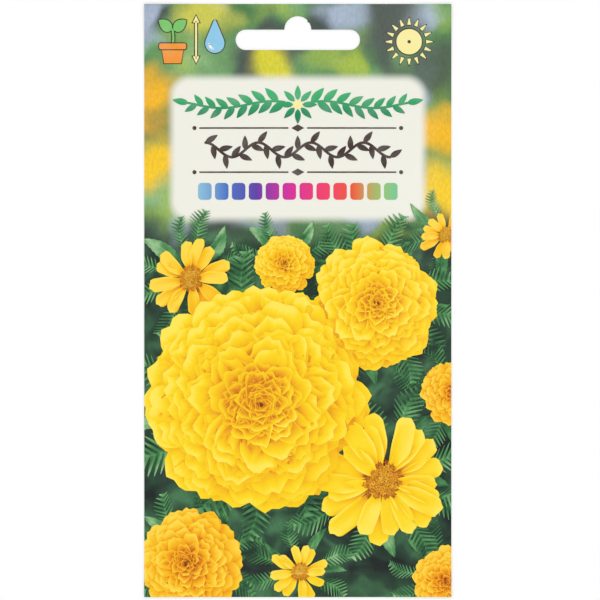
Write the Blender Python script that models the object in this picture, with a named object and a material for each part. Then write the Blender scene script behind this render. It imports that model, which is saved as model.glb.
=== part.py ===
"""A flat seed packet with a hanging slot: two sealed sheets of laminated paper with loose seeds between them.

The packet lies on its back. +Z points out of its front, +Y towards its slotted header.
The origin is the middle of the packet's underside. All sizes are in metres.
"""

import math
import random

import bmesh
import bpy
from mathutils import Matrix, Vector

# The packet
PACKET_WIDTH = 0.080
PACKET_HEIGHT = 0.1545
SHEET_THICKNESS = 0.00012
SEAL_THICKNESS = 0.00003

# The flat seal that joins the two sheets along each edge
SIDE_SEAL = 0.004
FOOT_SEAL = 0.006
HEADER_SEAL = 0.0160

# The pouch between the seals
POUCH_RISE = 0.0023
POUCH_FULLNESS = 0.75
POUCH_SAG = 0.80
COLUMNS = 18
ROWS = 30

# The hanging slot, cut through both sheets
SLOT_LENGTH = 0.0324
SLOT_WIDTH = 0.0053
SLOT_TOP_BELOW_EDGE = 0.0067
HOOK_RADIUS = 0.0035
END_ARC_STEPS = 8
HOOK_ARC_STEPS = 14
CUTTER_REACH = 0.004

# The seeds
SEED_COUNT = 96
SEED_LENGTH = 0.0080
SEED_WIDTH = 0.00095
SEED_DEPTH = 0.00070
SEED_SIDES = 5
SEED_FOOT_SHARE = 0.45
TUFT_LENGTH = 0.0045
TUFT_ROOT = 0.0008
TUFT_SPREAD = 0.0007
TUFT_THICKNESS = 0.00030
HEAP_CENTRE = (0.0, -0.019)
HEAP_HALF_AXES = (0.023, 0.038)
LAYER_PITCH = 0.00026
MOST_LAYERS = 4
MOST_TOUCHED = 3
SEED_CLEARANCE = 0.00008
RANDOM_SEED = 12

# Levels of the flat seal, from the underside up
BACK_TOP = SHEET_THICKNESS
FRONT_UNDERSIDE = BACK_TOP + SEAL_THICKNESS

HALF_WIDTH = PACKET_WIDTH / 2
HALF_HEIGHT = PACKET_HEIGHT / 2
POUCH_HALF_WIDTH = HALF_WIDTH - SIDE_SEAL
POUCH_FOOT = -HALF_HEIGHT + FOOT_SEAL
POUCH_HEAD = HALF_HEIGHT - HEADER_SEAL
SLOT_TOP = HALF_HEIGHT - SLOT_TOP_BELOW_EDGE
SLOT_MIDDLE = SLOT_TOP - SLOT_WIDTH / 2


def clear_scene():
    for obj in list(bpy.data.objects):
        bpy.data.objects.remove(obj, do_unlink=True)


def material(name, colour, roughness):
    made = bpy.data.materials.new(name)
    made.use_nodes = True
    surface = made.node_tree.nodes["Principled BSDF"]
    surface.inputs["Base Color"].default_value = (*colour, 1.0)
    surface.inputs["Roughness"].default_value = roughness
    surface.inputs["Metallic"].default_value = 0.0
    return made


def object_from(name, bm, dressing=None):
    """Turns a bmesh into a linked object with recalculated outward faces."""
    bmesh.ops.recalc_face_normals(bm, faces=bm.faces)
    mesh = bpy.data.meshes.new(name)
    bm.to_mesh(mesh)
    bm.free()
    obj = bpy.data.objects.new(name, mesh)
    bpy.context.scene.collection.objects.link(obj)
    if dressing:
        mesh.materials.append(dressing)
    return obj


def pouch_height(x, y):
    """How far the front sheet stands off the seal: a pillow that is fullest below its middle."""
    across = min(abs(x) / POUCH_HALF_WIDTH, 1.0)
    along = min(max((y - POUCH_FOOT) / (POUCH_HEAD - POUCH_FOOT), 0.0), 1.0)
    sagged = 2 * along**POUCH_SAG - 1
    return POUCH_RISE * ((1 - across**2) * (1 - sagged**2)) ** POUCH_FULLNESS


def sheet_lines():
    """The grid lines of the front sheet: one cell for each seal, even cells over the pouch."""
    xs = [-HALF_WIDTH]
    xs += [-POUCH_HALF_WIDTH + 2 * POUCH_HALF_WIDTH * i / COLUMNS for i in range(COLUMNS + 1)]
    xs.append(HALF_WIDTH)
    ys = [-HALF_HEIGHT]
    ys += [POUCH_FOOT + (POUCH_HEAD - POUCH_FOOT) * i / ROWS for i in range(ROWS + 1)]
    ys.append(HALF_HEIGHT)
    return xs, ys


def slot_outline():
    """The euro slot: a long hole with round ends and a round seat for the hook above its middle."""
    radius = SLOT_WIDTH / 2
    reach = SLOT_LENGTH / 2 - radius
    points = []
    for i in range(END_ARC_STEPS + 1):
        angle = -math.pi / 2 + math.pi * i / END_ARC_STEPS
        points.append((reach + radius * math.cos(angle), SLOT_MIDDLE + radius * math.sin(angle)))
    for i in range(HOOK_ARC_STEPS + 1):
        angle = math.pi * i / HOOK_ARC_STEPS
        points.append((HOOK_RADIUS * math.cos(angle), SLOT_TOP + HOOK_RADIUS * math.sin(angle)))
    for i in range(END_ARC_STEPS + 1):
        angle = math.pi / 2 + math.pi * i / END_ARC_STEPS
        points.append((-reach + radius * math.cos(angle), SLOT_MIDDLE + radius * math.sin(angle)))
    return points


def slot_cutter():
    """A prism of the slot's outline that runs well past both sheets. It isn't part of the object."""
    bm = bmesh.new()
    foot = bm.faces.new([bm.verts.new((x, y, -CUTTER_REACH)) for x, y in slot_outline()])
    raised = bmesh.ops.extrude_face_region(bm, geom=[foot])["geom"]
    top = [v for v in raised if isinstance(v, bmesh.types.BMVert)]
    bmesh.ops.translate(bm, verts=top, vec=(0, 0, 2 * CUTTER_REACH))
    cutter = object_from("slot_cutter", bm)
    cutter.hide_render = True
    cutter.display_type = "WIRE"
    return cutter


def cut_slot(sheet, cutter):
    cut = sheet.modifiers.new("slot", "BOOLEAN")
    cut.operation = "DIFFERENCE"
    cut.solver = "EXACT"
    cut.object = cutter


def front_sheet(cutter):
    """The printed sheet: flat along its seals, raised like a pillow over the pouch."""
    xs, ys = sheet_lines()
    bm = bmesh.new()
    grid = [[bm.verts.new((x, y, FRONT_UNDERSIDE + pouch_height(x, y))) for x in xs] for y in ys]
    for lower, upper in zip(grid, grid[1:]):
        for i in range(len(xs) - 1):
            bm.faces.new((lower[i], lower[i + 1], upper[i + 1], upper[i]))
    sheet = object_from("front_sheet", bm, material("printed paper", (0.90, 0.62, 0.03), 0.28))
    wall = sheet.modifiers.new("paper", "SOLIDIFY")
    wall.thickness = SHEET_THICKNESS
    wall.offset = 1.0
    cut_slot(sheet, cutter)
    sheet.data.shade_smooth()
    return sheet


def back_sheet(cutter):
    """The sheet that the packet lies on: flat from edge to edge."""
    bm = bmesh.new()
    bmesh.ops.create_cube(bm, size=1.0)
    bmesh.ops.scale(bm, verts=bm.verts, vec=(PACKET_WIDTH, PACKET_HEIGHT, SHEET_THICKNESS))
    bmesh.ops.translate(bm, verts=bm.verts, vec=(0, 0, SHEET_THICKNESS / 2))
    sheet = object_from("back_sheet", bm, material("plain paper", (0.86, 0.86, 0.80), 0.40))
    cut_slot(sheet, cutter)
    return sheet


def seed_mesh(place):
    """One long ribbed seed along X with a short flared tuft at its head, moved by the matrix place."""
    bm = bmesh.new()
    middle = SEED_DEPTH / 2
    rings = []
    for x, share in ((0.0, SEED_FOOT_SHARE), (SEED_LENGTH, 1.0)):
        ring = []
        for i in range(SEED_SIDES):
            angle = 2 * math.pi * (i + 0.5) / SEED_SIDES + math.pi / 2
            y = share * SEED_WIDTH / 2 * math.cos(angle)
            ring.append(bm.verts.new((x, y, middle + share * SEED_DEPTH / 2 * math.sin(angle))))
        rings.append(ring)
    for i in range(SEED_SIDES):
        j = (i + 1) % SEED_SIDES
        bm.faces.new((rings[0][i], rings[0][j], rings[1][j], rings[1][i]))
    bm.faces.new(rings[0][::-1])
    bm.faces.new(rings[1])
    body = object_from("seed_body", bm)

    bm = bmesh.new()
    root = SEED_LENGTH - TUFT_ROOT
    ends = []
    for x, half in ((root, SEED_WIDTH / 4), (root + TUFT_ROOT + TUFT_LENGTH, TUFT_SPREAD)):
        corners = ((-half, -1), (half, -1), (half, 1), (-half, 1))
        ends.append([bm.verts.new((x, y, middle + side * TUFT_THICKNESS / 2)) for y, side in corners])
    for i in range(4):
        j = (i + 1) % 4
        bm.faces.new((ends[0][i], ends[0][j], ends[1][j], ends[1][i]))
    bm.faces.new(ends[0][::-1])
    bm.faces.new(ends[1])
    tuft = object_from("seed_tuft", bm)

    for piece in (body, tuft):
        piece.data.transform(place)
    return body, tuft


def cross(a, b):
    """True where two line segments in the plane cross."""
    (p, q), (r, s) = a, b

    def side(o, m, n):
        return (m[0] - o[0]) * (n[1] - o[1]) - (m[1] - o[1]) * (n[0] - o[0])

    return side(p, q, r) * side(p, q, s) < 0 and side(r, s, p) * side(r, s, q) < 0


def fits_under_front(line, top):
    """True if a seed along this line whose upper side is at this height stays clear of the front sheet."""
    (x0, y0), (x1, y1) = line
    for i in range(5):
        x = x0 + (x1 - x0) * i / 4
        y = y0 + (y1 - y0) * i / 4
        side = math.copysign(abs(x) + SEED_WIDTH, x)
        if FRONT_UNDERSIDE + pouch_height(side, y) < top + SEED_CLEARANCE:
            return False
    return True


def heap_of_seeds():
    """Lines and layers of the seeds, laid one by one at random so that each crosses some of those before."""
    draw = random.Random(RANDOM_SEED)
    whole = SEED_LENGTH + TUFT_LENGTH
    laid = []
    while len(laid) < SEED_COUNT:
        turn = draw.uniform(0, 2 * math.pi)
        out = math.sqrt(draw.random())
        x = HEAP_CENTRE[0] + HEAP_HALF_AXES[0] * out * math.cos(turn)
        y = HEAP_CENTRE[1] + HEAP_HALF_AXES[1] * out * math.sin(turn)
        heading = draw.uniform(0, 2 * math.pi)
        step = (whole / 2 * math.cos(heading), whole / 2 * math.sin(heading))
        line = ((x - step[0], y - step[1]), (x + step[0], y + step[1]))
        touched = [layer for other, _, layer in laid if cross(line, other)]
        if laid and not 1 <= len(touched) <= MOST_TOUCHED:
            continue
        layer = max(touched) + 1 if touched else 0
        top = BACK_TOP + SEED_CLEARANCE + layer * LAYER_PITCH + SEED_DEPTH
        if layer < MOST_LAYERS and fits_under_front(line, top):
            laid.append((line, heading, layer))
    return laid


def join_all(name, pieces, dressing):
    """One solid from the first piece and all the others, with the helpers removed."""
    first, others = pieces[0], pieces[1:]
    group = bpy.data.collections.new("to_join")
    bpy.context.scene.collection.children.link(group)
    for piece in others:
        bpy.context.scene.collection.objects.unlink(piece)
        group.objects.link(piece)
    union = first.modifiers.new("join", "BOOLEAN")
    union.operation = "UNION"
    union.solver = "MANIFOLD"
    union.operand_type = "COLLECTION"
    union.collection = group
    graph = bpy.context.evaluated_depsgraph_get()
    mesh = bpy.data.meshes.new_from_object(first.evaluated_get(graph))
    for piece in pieces:
        bpy.data.objects.remove(piece, do_unlink=True)
    bpy.data.collections.remove(group)
    mesh.name = name
    mesh.materials.clear()
    mesh.materials.append(dressing)
    joined = bpy.data.objects.new(name, mesh)
    bpy.context.scene.collection.objects.link(joined)
    return joined


def seeds():
    """The loose seeds as one tangled heap that lies on the back sheet."""
    pieces = []
    for line, heading, layer in heap_of_seeds():
        foot = Vector((*line[0], BACK_TOP + SEED_CLEARANCE + layer * LAYER_PITCH))
        pieces += seed_mesh(Matrix.Translation(foot) @ Matrix.Rotation(heading, 4, "Z"))
    return join_all("seeds", pieces, material("seed coat", (0.035, 0.028, 0.022), 0.45))


def main():
    clear_scene()
    cutter = slot_cutter()
    front_sheet(cutter)
    back_sheet(cutter)
    seeds()


main()
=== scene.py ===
"""Looks of a flat seed packet: two laminated paper sheets, a full-bleed garden print and the seeds inside.

The print is a generic posy. Its flowers and leaves are modelled in the round, lit once, and then pressed flat
onto the front sheet, so that the picture keeps crisp edges at any distance. Plain printed shapes are cut from
outlines and pressed on in the same way. The packet lies on its back, +Z out of its front, +Y to its header.
"""

from __future__ import annotations

import logging
import math
import random
from dataclasses import dataclass, field, replace
from enum import Enum
from functools import lru_cache
from typing import Callable, Iterable, Sequence

import bmesh
import bpy
import numpy as np
from mathutils import Matrix, Vector
from mathutils.bvhtree import BVHTree

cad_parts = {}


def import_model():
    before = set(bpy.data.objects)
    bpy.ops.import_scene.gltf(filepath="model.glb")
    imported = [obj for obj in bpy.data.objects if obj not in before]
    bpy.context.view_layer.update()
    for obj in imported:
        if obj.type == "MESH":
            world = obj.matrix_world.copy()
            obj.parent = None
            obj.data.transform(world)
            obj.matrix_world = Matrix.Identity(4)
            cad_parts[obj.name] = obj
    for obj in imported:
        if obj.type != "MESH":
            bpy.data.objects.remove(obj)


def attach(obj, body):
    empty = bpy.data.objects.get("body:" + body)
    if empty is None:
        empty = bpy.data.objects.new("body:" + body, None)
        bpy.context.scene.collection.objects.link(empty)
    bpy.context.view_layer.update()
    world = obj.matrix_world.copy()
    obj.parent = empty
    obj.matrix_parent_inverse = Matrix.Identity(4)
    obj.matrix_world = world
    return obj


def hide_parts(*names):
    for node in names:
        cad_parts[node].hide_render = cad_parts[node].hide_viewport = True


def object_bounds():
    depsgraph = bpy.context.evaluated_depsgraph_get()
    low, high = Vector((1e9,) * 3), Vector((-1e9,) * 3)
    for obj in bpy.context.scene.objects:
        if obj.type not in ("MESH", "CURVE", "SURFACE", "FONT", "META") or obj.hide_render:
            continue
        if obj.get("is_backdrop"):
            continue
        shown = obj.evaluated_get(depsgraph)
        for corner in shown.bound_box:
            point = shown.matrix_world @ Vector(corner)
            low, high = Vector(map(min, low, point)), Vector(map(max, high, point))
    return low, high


LOG = logging.getLogger("seed_packet")
MM = 0.001
BODY = "root"
GOLDEN_ANGLE = math.pi * (3 - math.sqrt(5))

Point2 = tuple[float, float]
Colour = tuple[float, float, float]
Outline = list[Point2]
Piece = bpy.types.Object
Socket = bpy.types.NodeSocket
SheetForm = tuple[np.ndarray, np.ndarray, np.ndarray]


def ink(red: int, green: int, blue: int) -> Colour:
    """Turn a colour as seen on screen, 0 to 255, into the linear values that a shader takes."""
    shares = (red / 255, green / 255, blue / 255)
    return tuple(c / 12.92 if c <= 0.04045 else ((c + 0.055) / 1.055) ** 2.4 for c in shares)


class Side(Enum):
    """The two printed faces of the packet."""

    FRONT = 1
    BACK = -1


def smoothstep(low: float, high: float, value: np.ndarray) -> np.ndarray:
    """Ease from 0 at low to 1 at high."""
    share = np.clip((value - low) / (high - low), 0.0, 1.0)
    return share * share * (3 - 2 * share)


class NodeBench:
    """Adds nodes to one tree and joins them."""

    def __init__(self, tree: bpy.types.NodeTree) -> None:
        """Take the tree that the nodes go into."""
        self.tree = tree

    def feed(self, socket: Socket, value: object) -> None:
        """Link an output to a socket, or set the socket's own value.

        Args:
            socket: The input.
            value: An output, or a plain value.
        """
        if isinstance(value, Socket):
            self.tree.links.new(value, socket)
        elif isinstance(value, tuple) and len(value) == 3 and socket.type == "RGBA":
            socket.default_value = (*value, 1.0)
        else:
            socket.default_value = value

    def add(self, kind: str, feeds: dict | None = None, **settings: object) -> bpy.types.Node:
        """Add a node.

        Args:
            kind: Blender's name of the node's type.
            feeds: What goes into its sockets, by name or number.
            settings: The node's own properties.

        Returns:
            The node.
        """
        node = self.tree.nodes.new(kind)
        for name, value in settings.items():
            setattr(node, name, value)
        for socket, value in (feeds or {}).items():
            self.feed(node.inputs[socket], value)
        return node

    def math(self, operation: str, *values: object, clamp: bool = False) -> Socket:
        """Work out a number from numbers or sockets."""
        node = self.add("ShaderNodeMath", dict(enumerate(values)), operation=operation, use_clamp=clamp)
        return node.outputs[0]

    def vector(self, operation: str, *values: object) -> Socket:
        """Work out a vector, or a distance, from vectors."""
        node = self.add("ShaderNodeVectorMath", dict(enumerate(values)), operation=operation)
        return node.outputs["Value" if operation == "DISTANCE" else "Vector"]

    def ease(self, value: object, low: float, high: float, start: float = 0.0, end: float = 1.0) -> Socket:
        """Map a number smoothly from low..high to start..end."""
        feeds = {"Value": value, "From Min": low, "From Max": high, "To Min": start, "To Max": end}
        return self.add("ShaderNodeMapRange", feeds, interpolation_type="SMOOTHSTEP").outputs["Result"]

    def mix(self, share: object, first: object, second: object, blend: str = "MIX") -> Socket:
        """Mix two colours.

        Args:
            share: How much of the second colour, 0 to 1.
            first: The colour at 0.
            second: The colour at 1.
            blend: Blender's name for the way of mixing.

        Returns:
            The mixture.
        """
        node = self.add("ShaderNodeMix", data_type="RGBA", blend_type=blend)
        for socket, value in (("Factor", share), (6, first), (7, second)):
            self.feed(node.inputs[socket], value)
        return node.outputs[2]

    def ramp(self, value: object, stops: Sequence[tuple[float, Colour]]) -> Socket:
        """Read a colour off a ramp of stops.

        Args:
            value: Where to read.
            stops: Places on the ramp and their colours.

        Returns:
            The colour read.
        """
        node = self.add("ShaderNodeValToRGB", {"Fac": value})
        marks = node.color_ramp.elements
        while len(marks) < len(stops):
            marks.new(0.5)
        for mark, (place, colour) in zip(marks, stops):
            mark.position = place
            mark.color = (*colour, 1.0)
        return node.outputs["Color"]

    def noise(self, place: object, scale: float, detail: float = 2.0, roughness: float = 0.5) -> Socket:
        """Read soft noise between 0 and 1."""
        feeds = {"Vector": place, "Scale": scale, "Detail": detail, "Roughness": roughness}
        return self.add("ShaderNodeTexNoise", feeds).outputs["Fac"]

    def read(self, name: str) -> Socket:
        """Read a number that the mesh carries."""
        return self.add("ShaderNodeAttribute", attribute_name=name).outputs["Fac"]

    def join(self, x: object = 0.0, y: object = 0.0, z: object = 0.0) -> Socket:
        """Make a vector of three numbers."""
        return self.add("ShaderNodeCombineXYZ", {"X": x, "Y": y, "Z": z}).outputs["Vector"]

    def part(self, vector: Socket, axis: str) -> Socket:
        """Take one number out of a vector."""
        return self.add("ShaderNodeSeparateXYZ", {0: vector}).outputs[axis]


@dataclass(frozen=True)
class PrintedFilm:
    """The gloss-laminated paper that every printed colour lies on.

    A subclass gives the colour. The film, the printing screen and the fibre of the paper are shared.
    """

    name: str = "print"
    roughness: float = 0.42
    shine: float = 0.30
    coat: float = 0.60
    coat_roughness: float = 0.15
    screen_pitch: float = 0.17 * MM
    screen_depth: float = 0.05
    fibre: float = 0.14

    def colour(self, bench: NodeBench, place: Socket) -> object:
        """Give the ink's colour at a place. Each subclass says which."""
        raise NotImplementedError

    def screened(self, bench: NodeBench, place: Socket, colour: object) -> Socket:
        """Break the colour up into the faint dots of a printing screen set at 45 degrees.

        Args:
            bench: The material's tree.
            place: The point, as Object coordinates.
            colour: The plain colour.

        Returns:
            The screened colour.
        """
        turned = bench.add("ShaderNodeMapping", {"Vector": place, "Rotation": (0.0, 0.0, math.radians(45))})
        waves = []
        for axis in ("X", "Y"):
            across = bench.part(turned.outputs["Vector"], axis)
            turns = bench.math("MULTIPLY", across, 2 * math.pi / self.screen_pitch)
            waves.append(bench.math("COSINE", turns))
        level = bench.math("MULTIPLY_ADD", bench.math("MULTIPLY", *waves), self.screen_depth, 1.0)
        grey = bench.add("ShaderNodeCombineColor", {"Red": level, "Green": level, "Blue": level})
        return bench.mix(1.0, colour, grey.outputs["Color"], "MULTIPLY")

    def build(self) -> bpy.types.Material:
        """Make the material.

        Returns:
            The material.
        """
        made = bpy.data.materials.new(self.name)
        made.use_nodes = True
        bench = NodeBench(made.node_tree)
        surface = made.node_tree.nodes["Principled BSDF"]
        place = bench.add("ShaderNodeTexCoord").outputs["Object"]
        low, high = self.roughness - 0.05, self.roughness + 0.05
        mottle = bench.ease(bench.noise(place, 900.0, 3.0), 0.2, 0.8, low, high)
        fibres = bench.noise(place, 2200.0, 4.0, 0.6)
        bump = bench.add("ShaderNodeBump", {"Height": fibres, "Strength": self.fibre, "Distance": 0.02 * MM})
        feeds = {
            "Base Color": self.screened(bench, place, self.colour(bench, place)),
            "Roughness": mottle,
            "Specular IOR Level": self.shine,
            "Coat Weight": self.coat,
            "Coat Roughness": self.coat_roughness,
            "Normal": bump.outputs["Normal"],
        }
        for socket, value in feeds.items():
            bench.feed(surface.inputs[socket], value)
        return made


@lru_cache(maxsize=None)
def built(finish: PrintedFilm) -> bpy.types.Material:
    """Make each finish once."""
    return finish.build()


@dataclass(frozen=True)
class FlatInk(PrintedFilm):
    """One printed colour, or two that run into each other between two heights on the packet."""

    low: Colour = (0.5, 0.5, 0.5)
    high: Colour | None = None
    low_y: float = 0.0
    high_y: float = 10 * MM

    def colour(self, bench: NodeBench, place: Socket) -> object:
        """Give the flat or graded colour, with a trace of uneven ink.

        Args:
            bench: The material's tree.
            place: The point, as Object coordinates.

        Returns:
            A colour, or the output that carries one.
        """
        share = bench.ease(bench.part(place, "Y"), self.low_y, self.high_y)
        graded = bench.mix(share, self.low, self.high or self.low)
        patchy = bench.ease(bench.noise(place, 300.0, 3.0), 0.3, 0.8, 0.0, 0.08)
        return bench.mix(patchy, graded, ink(255, 255, 250))


class Ink(Enum):
    """The plain inks of the print."""

    CREAM = FlatInk("cream ink", low=ink(240, 239, 228))
    WHITE = FlatInk("white ink", low=ink(252, 252, 248))
    EMERALD = FlatInk(
        "emerald ink", low=ink(8, 128, 84), high=ink(70, 186, 116), low_y=46 * MM, high_y=57 * MM
    )
    BROWN = FlatInk("brown ink", low=ink(66, 50, 44))
    OUTLINE = FlatInk("outline ink", low=ink(58, 60, 42))
    BUTTER = FlatInk("butter ink", low=ink(250, 238, 160))
    SKY = FlatInk("sky ink", low=ink(140, 200, 232))
    TERRACOTTA = FlatInk("terracotta ink", low=ink(244, 150, 52))
    SPROUT = FlatInk("sprout ink", low=ink(120, 196, 104))
    PINE = FlatInk("pine ink", low=ink(30, 104, 70))


@dataclass(frozen=True)
class SeasonInk(PrintedFilm):
    """The row of month marks: cold blue through violet and magenta to warm red, and back to green."""

    name: str = "season ink"
    half_length: float = 27 * MM
    stops: tuple = (
        (0.00, ink(150, 200, 226)),
        (0.16, ink(72, 116, 196)),
        (0.30, ink(96, 62, 168)),
        (0.46, ink(214, 44, 156)),
        (0.62, ink(240, 62, 110)),
        (0.76, ink(240, 86, 58)),
        (0.90, ink(150, 196, 110)),
        (1.00, ink(110, 200, 158)),
    )

    def colour(self, bench: NodeBench, place: Socket) -> object:
        """Give the colour by the place along the row."""
        across = bench.part(place, "X")
        return bench.ramp(bench.math("MULTIPLY_ADD", across, 0.5 / self.half_length, 0.5), self.stops)


@dataclass(frozen=True)
class BloomInk(PrintedFilm):
    """The pictured petals: their colour follows the light on them, from amber depths to lemon rims."""

    warmth: float = 0.0
    lemon: tuple = (
        (0.00, ink(206, 118, 18)),
        (0.15, ink(236, 156, 24)),
        (0.32, ink(248, 188, 20)),
        (0.55, ink(252, 208, 16)),
        (0.80, ink(254, 221, 34)),
        (1.00, ink(255, 233, 88)),
    )
    ember: tuple = (
        (0.00, ink(168, 76, 10)),
        (0.20, ink(220, 118, 12)),
        (0.42, ink(240, 152, 14)),
        (0.70, ink(250, 182, 20)),
        (1.00, ink(255, 212, 66)),
    )

    def colour(self, bench: NodeBench, place: Socket) -> object:
        """Give the petal's colour, streaked along its length and paler at its rim.

        Args:
            bench: The material's tree.
            place: The point, as Object coordinates.

        Returns:
            A colour, or the output that carries one.
        """
        along, across = bench.read("along"), bench.read("across")
        streaks = bench.join(
            bench.math("MULTIPLY", across, 5.0),
            bench.math("MULTIPLY", along, 1.6),
            bench.math("MULTIPLY", bench.read("pick"), 40.0),
        )
        streak = bench.ease(bench.noise(streaks, 2.2, 3.0, 0.6), 0.2, 0.8, -0.06, 0.06)
        tip = bench.ease(along, 0.82, 1.0)
        side = bench.ease(bench.math("ABSOLUTE", across), 0.70, 1.0)
        rim = bench.math("MULTIPLY", bench.math("MAXIMUM", tip, side), 0.16)
        claw = bench.ease(along, 0.0, 0.45, -0.14, 0.0)
        lit = bench.read("light")
        for change in (streak, rim, claw):
            lit = bench.math("ADD", lit, change, clamp=True)
        own = bench.math("MULTIPLY_ADD", bench.read("pick"), 0.14, self.warmth, clamp=True)
        return bench.mix(own, bench.ramp(lit, self.lemon), bench.ramp(lit, self.ember))


@dataclass(frozen=True)
class FloretInk(PrintedFilm):
    """The pictured florets in a bloom's heart: brown between them, amber on their sides, golden tips."""

    name: str = "floret ink"
    stops: tuple = (
        (0.00, ink(84, 40, 12)),
        (0.25, ink(160, 84, 18)),
        (0.50, ink(222, 138, 28)),
        (0.75, ink(250, 188, 44)),
        (1.00, ink(255, 226, 110)),
    )

    def colour(self, bench: NodeBench, place: Socket) -> object:
        """Give the floret's colour by the light and by how near its tip is.

        Args:
            bench: The material's tree.
            place: The point, as Object coordinates.

        Returns:
            A colour, or the output that carries one.
        """
        lit = bench.math("MULTIPLY_ADD", bench.read("along"), 0.35, bench.read("light"))
        duller = bench.math("MULTIPLY_ADD", bench.read("pick"), 0.2, 0.15)
        lit = bench.math("SUBTRACT", lit, duller, clamp=True)
        return bench.ramp(lit, self.stops)


@dataclass(frozen=True)
class LeafInk(PrintedFilm):
    """The pictured leaves: dark between the flowers, cool green where the light falls, with paler veins."""

    name: str = "leaf ink"
    vein_pairs: float = 7.0
    stops: tuple = (
        (0.00, ink(20, 32, 28)),
        (0.22, ink(32, 62, 42)),
        (0.45, ink(52, 106, 62)),
        (0.70, ink(90, 150, 92)),
        (1.00, ink(158, 198, 146)),
    )

    def colour(self, bench: NodeBench, place: Socket) -> object:
        """Give the leaf's colour with its midrib and side veins.

        Args:
            bench: The material's tree.
            place: The point, as Object coordinates.

        Returns:
            A colour, or the output that carries one.
        """
        across = bench.math("ABSOLUTE", bench.read("across"))
        midrib = bench.ease(across, 0.03, 0.10, 1.0, 0.0)
        slant = bench.math("MULTIPLY_ADD", across, -0.22, bench.read("along"))
        wave = bench.math("SINE", bench.math("MULTIPLY", slant, 2 * math.pi * self.vein_pairs))
        vein = bench.math("MAXIMUM", midrib, bench.ease(wave, 0.86, 1.0, 0.0, 0.55))
        cloud = bench.ease(bench.noise(place, 420.0, 3.0), 0.25, 0.8, -0.1, 0.1)
        lit = bench.math("ADD", bench.read("light"), cloud)
        lit = bench.math("MULTIPLY_ADD", bench.read("pick"), 0.16, lit)
        lit = bench.math("MULTIPLY_ADD", vein, 0.13, bench.math("SUBTRACT", lit, 0.08), clamp=True)
        return bench.ramp(lit, self.stops)


@dataclass(frozen=True)
class Patch:
    """A kind of soft patch in the picture's ground, set by noise: its colour, size and how much it covers."""

    colour: Colour
    shift: float
    scale: float
    low: float
    high: float
    strength: float = 0.9


@dataclass(frozen=True)
class Spot:
    """A flower far out of focus in the picture's ground. Sizes are in millimetres."""

    x: float
    y: float
    radius: float
    colour: Colour
    strength: float = 0.95


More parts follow.
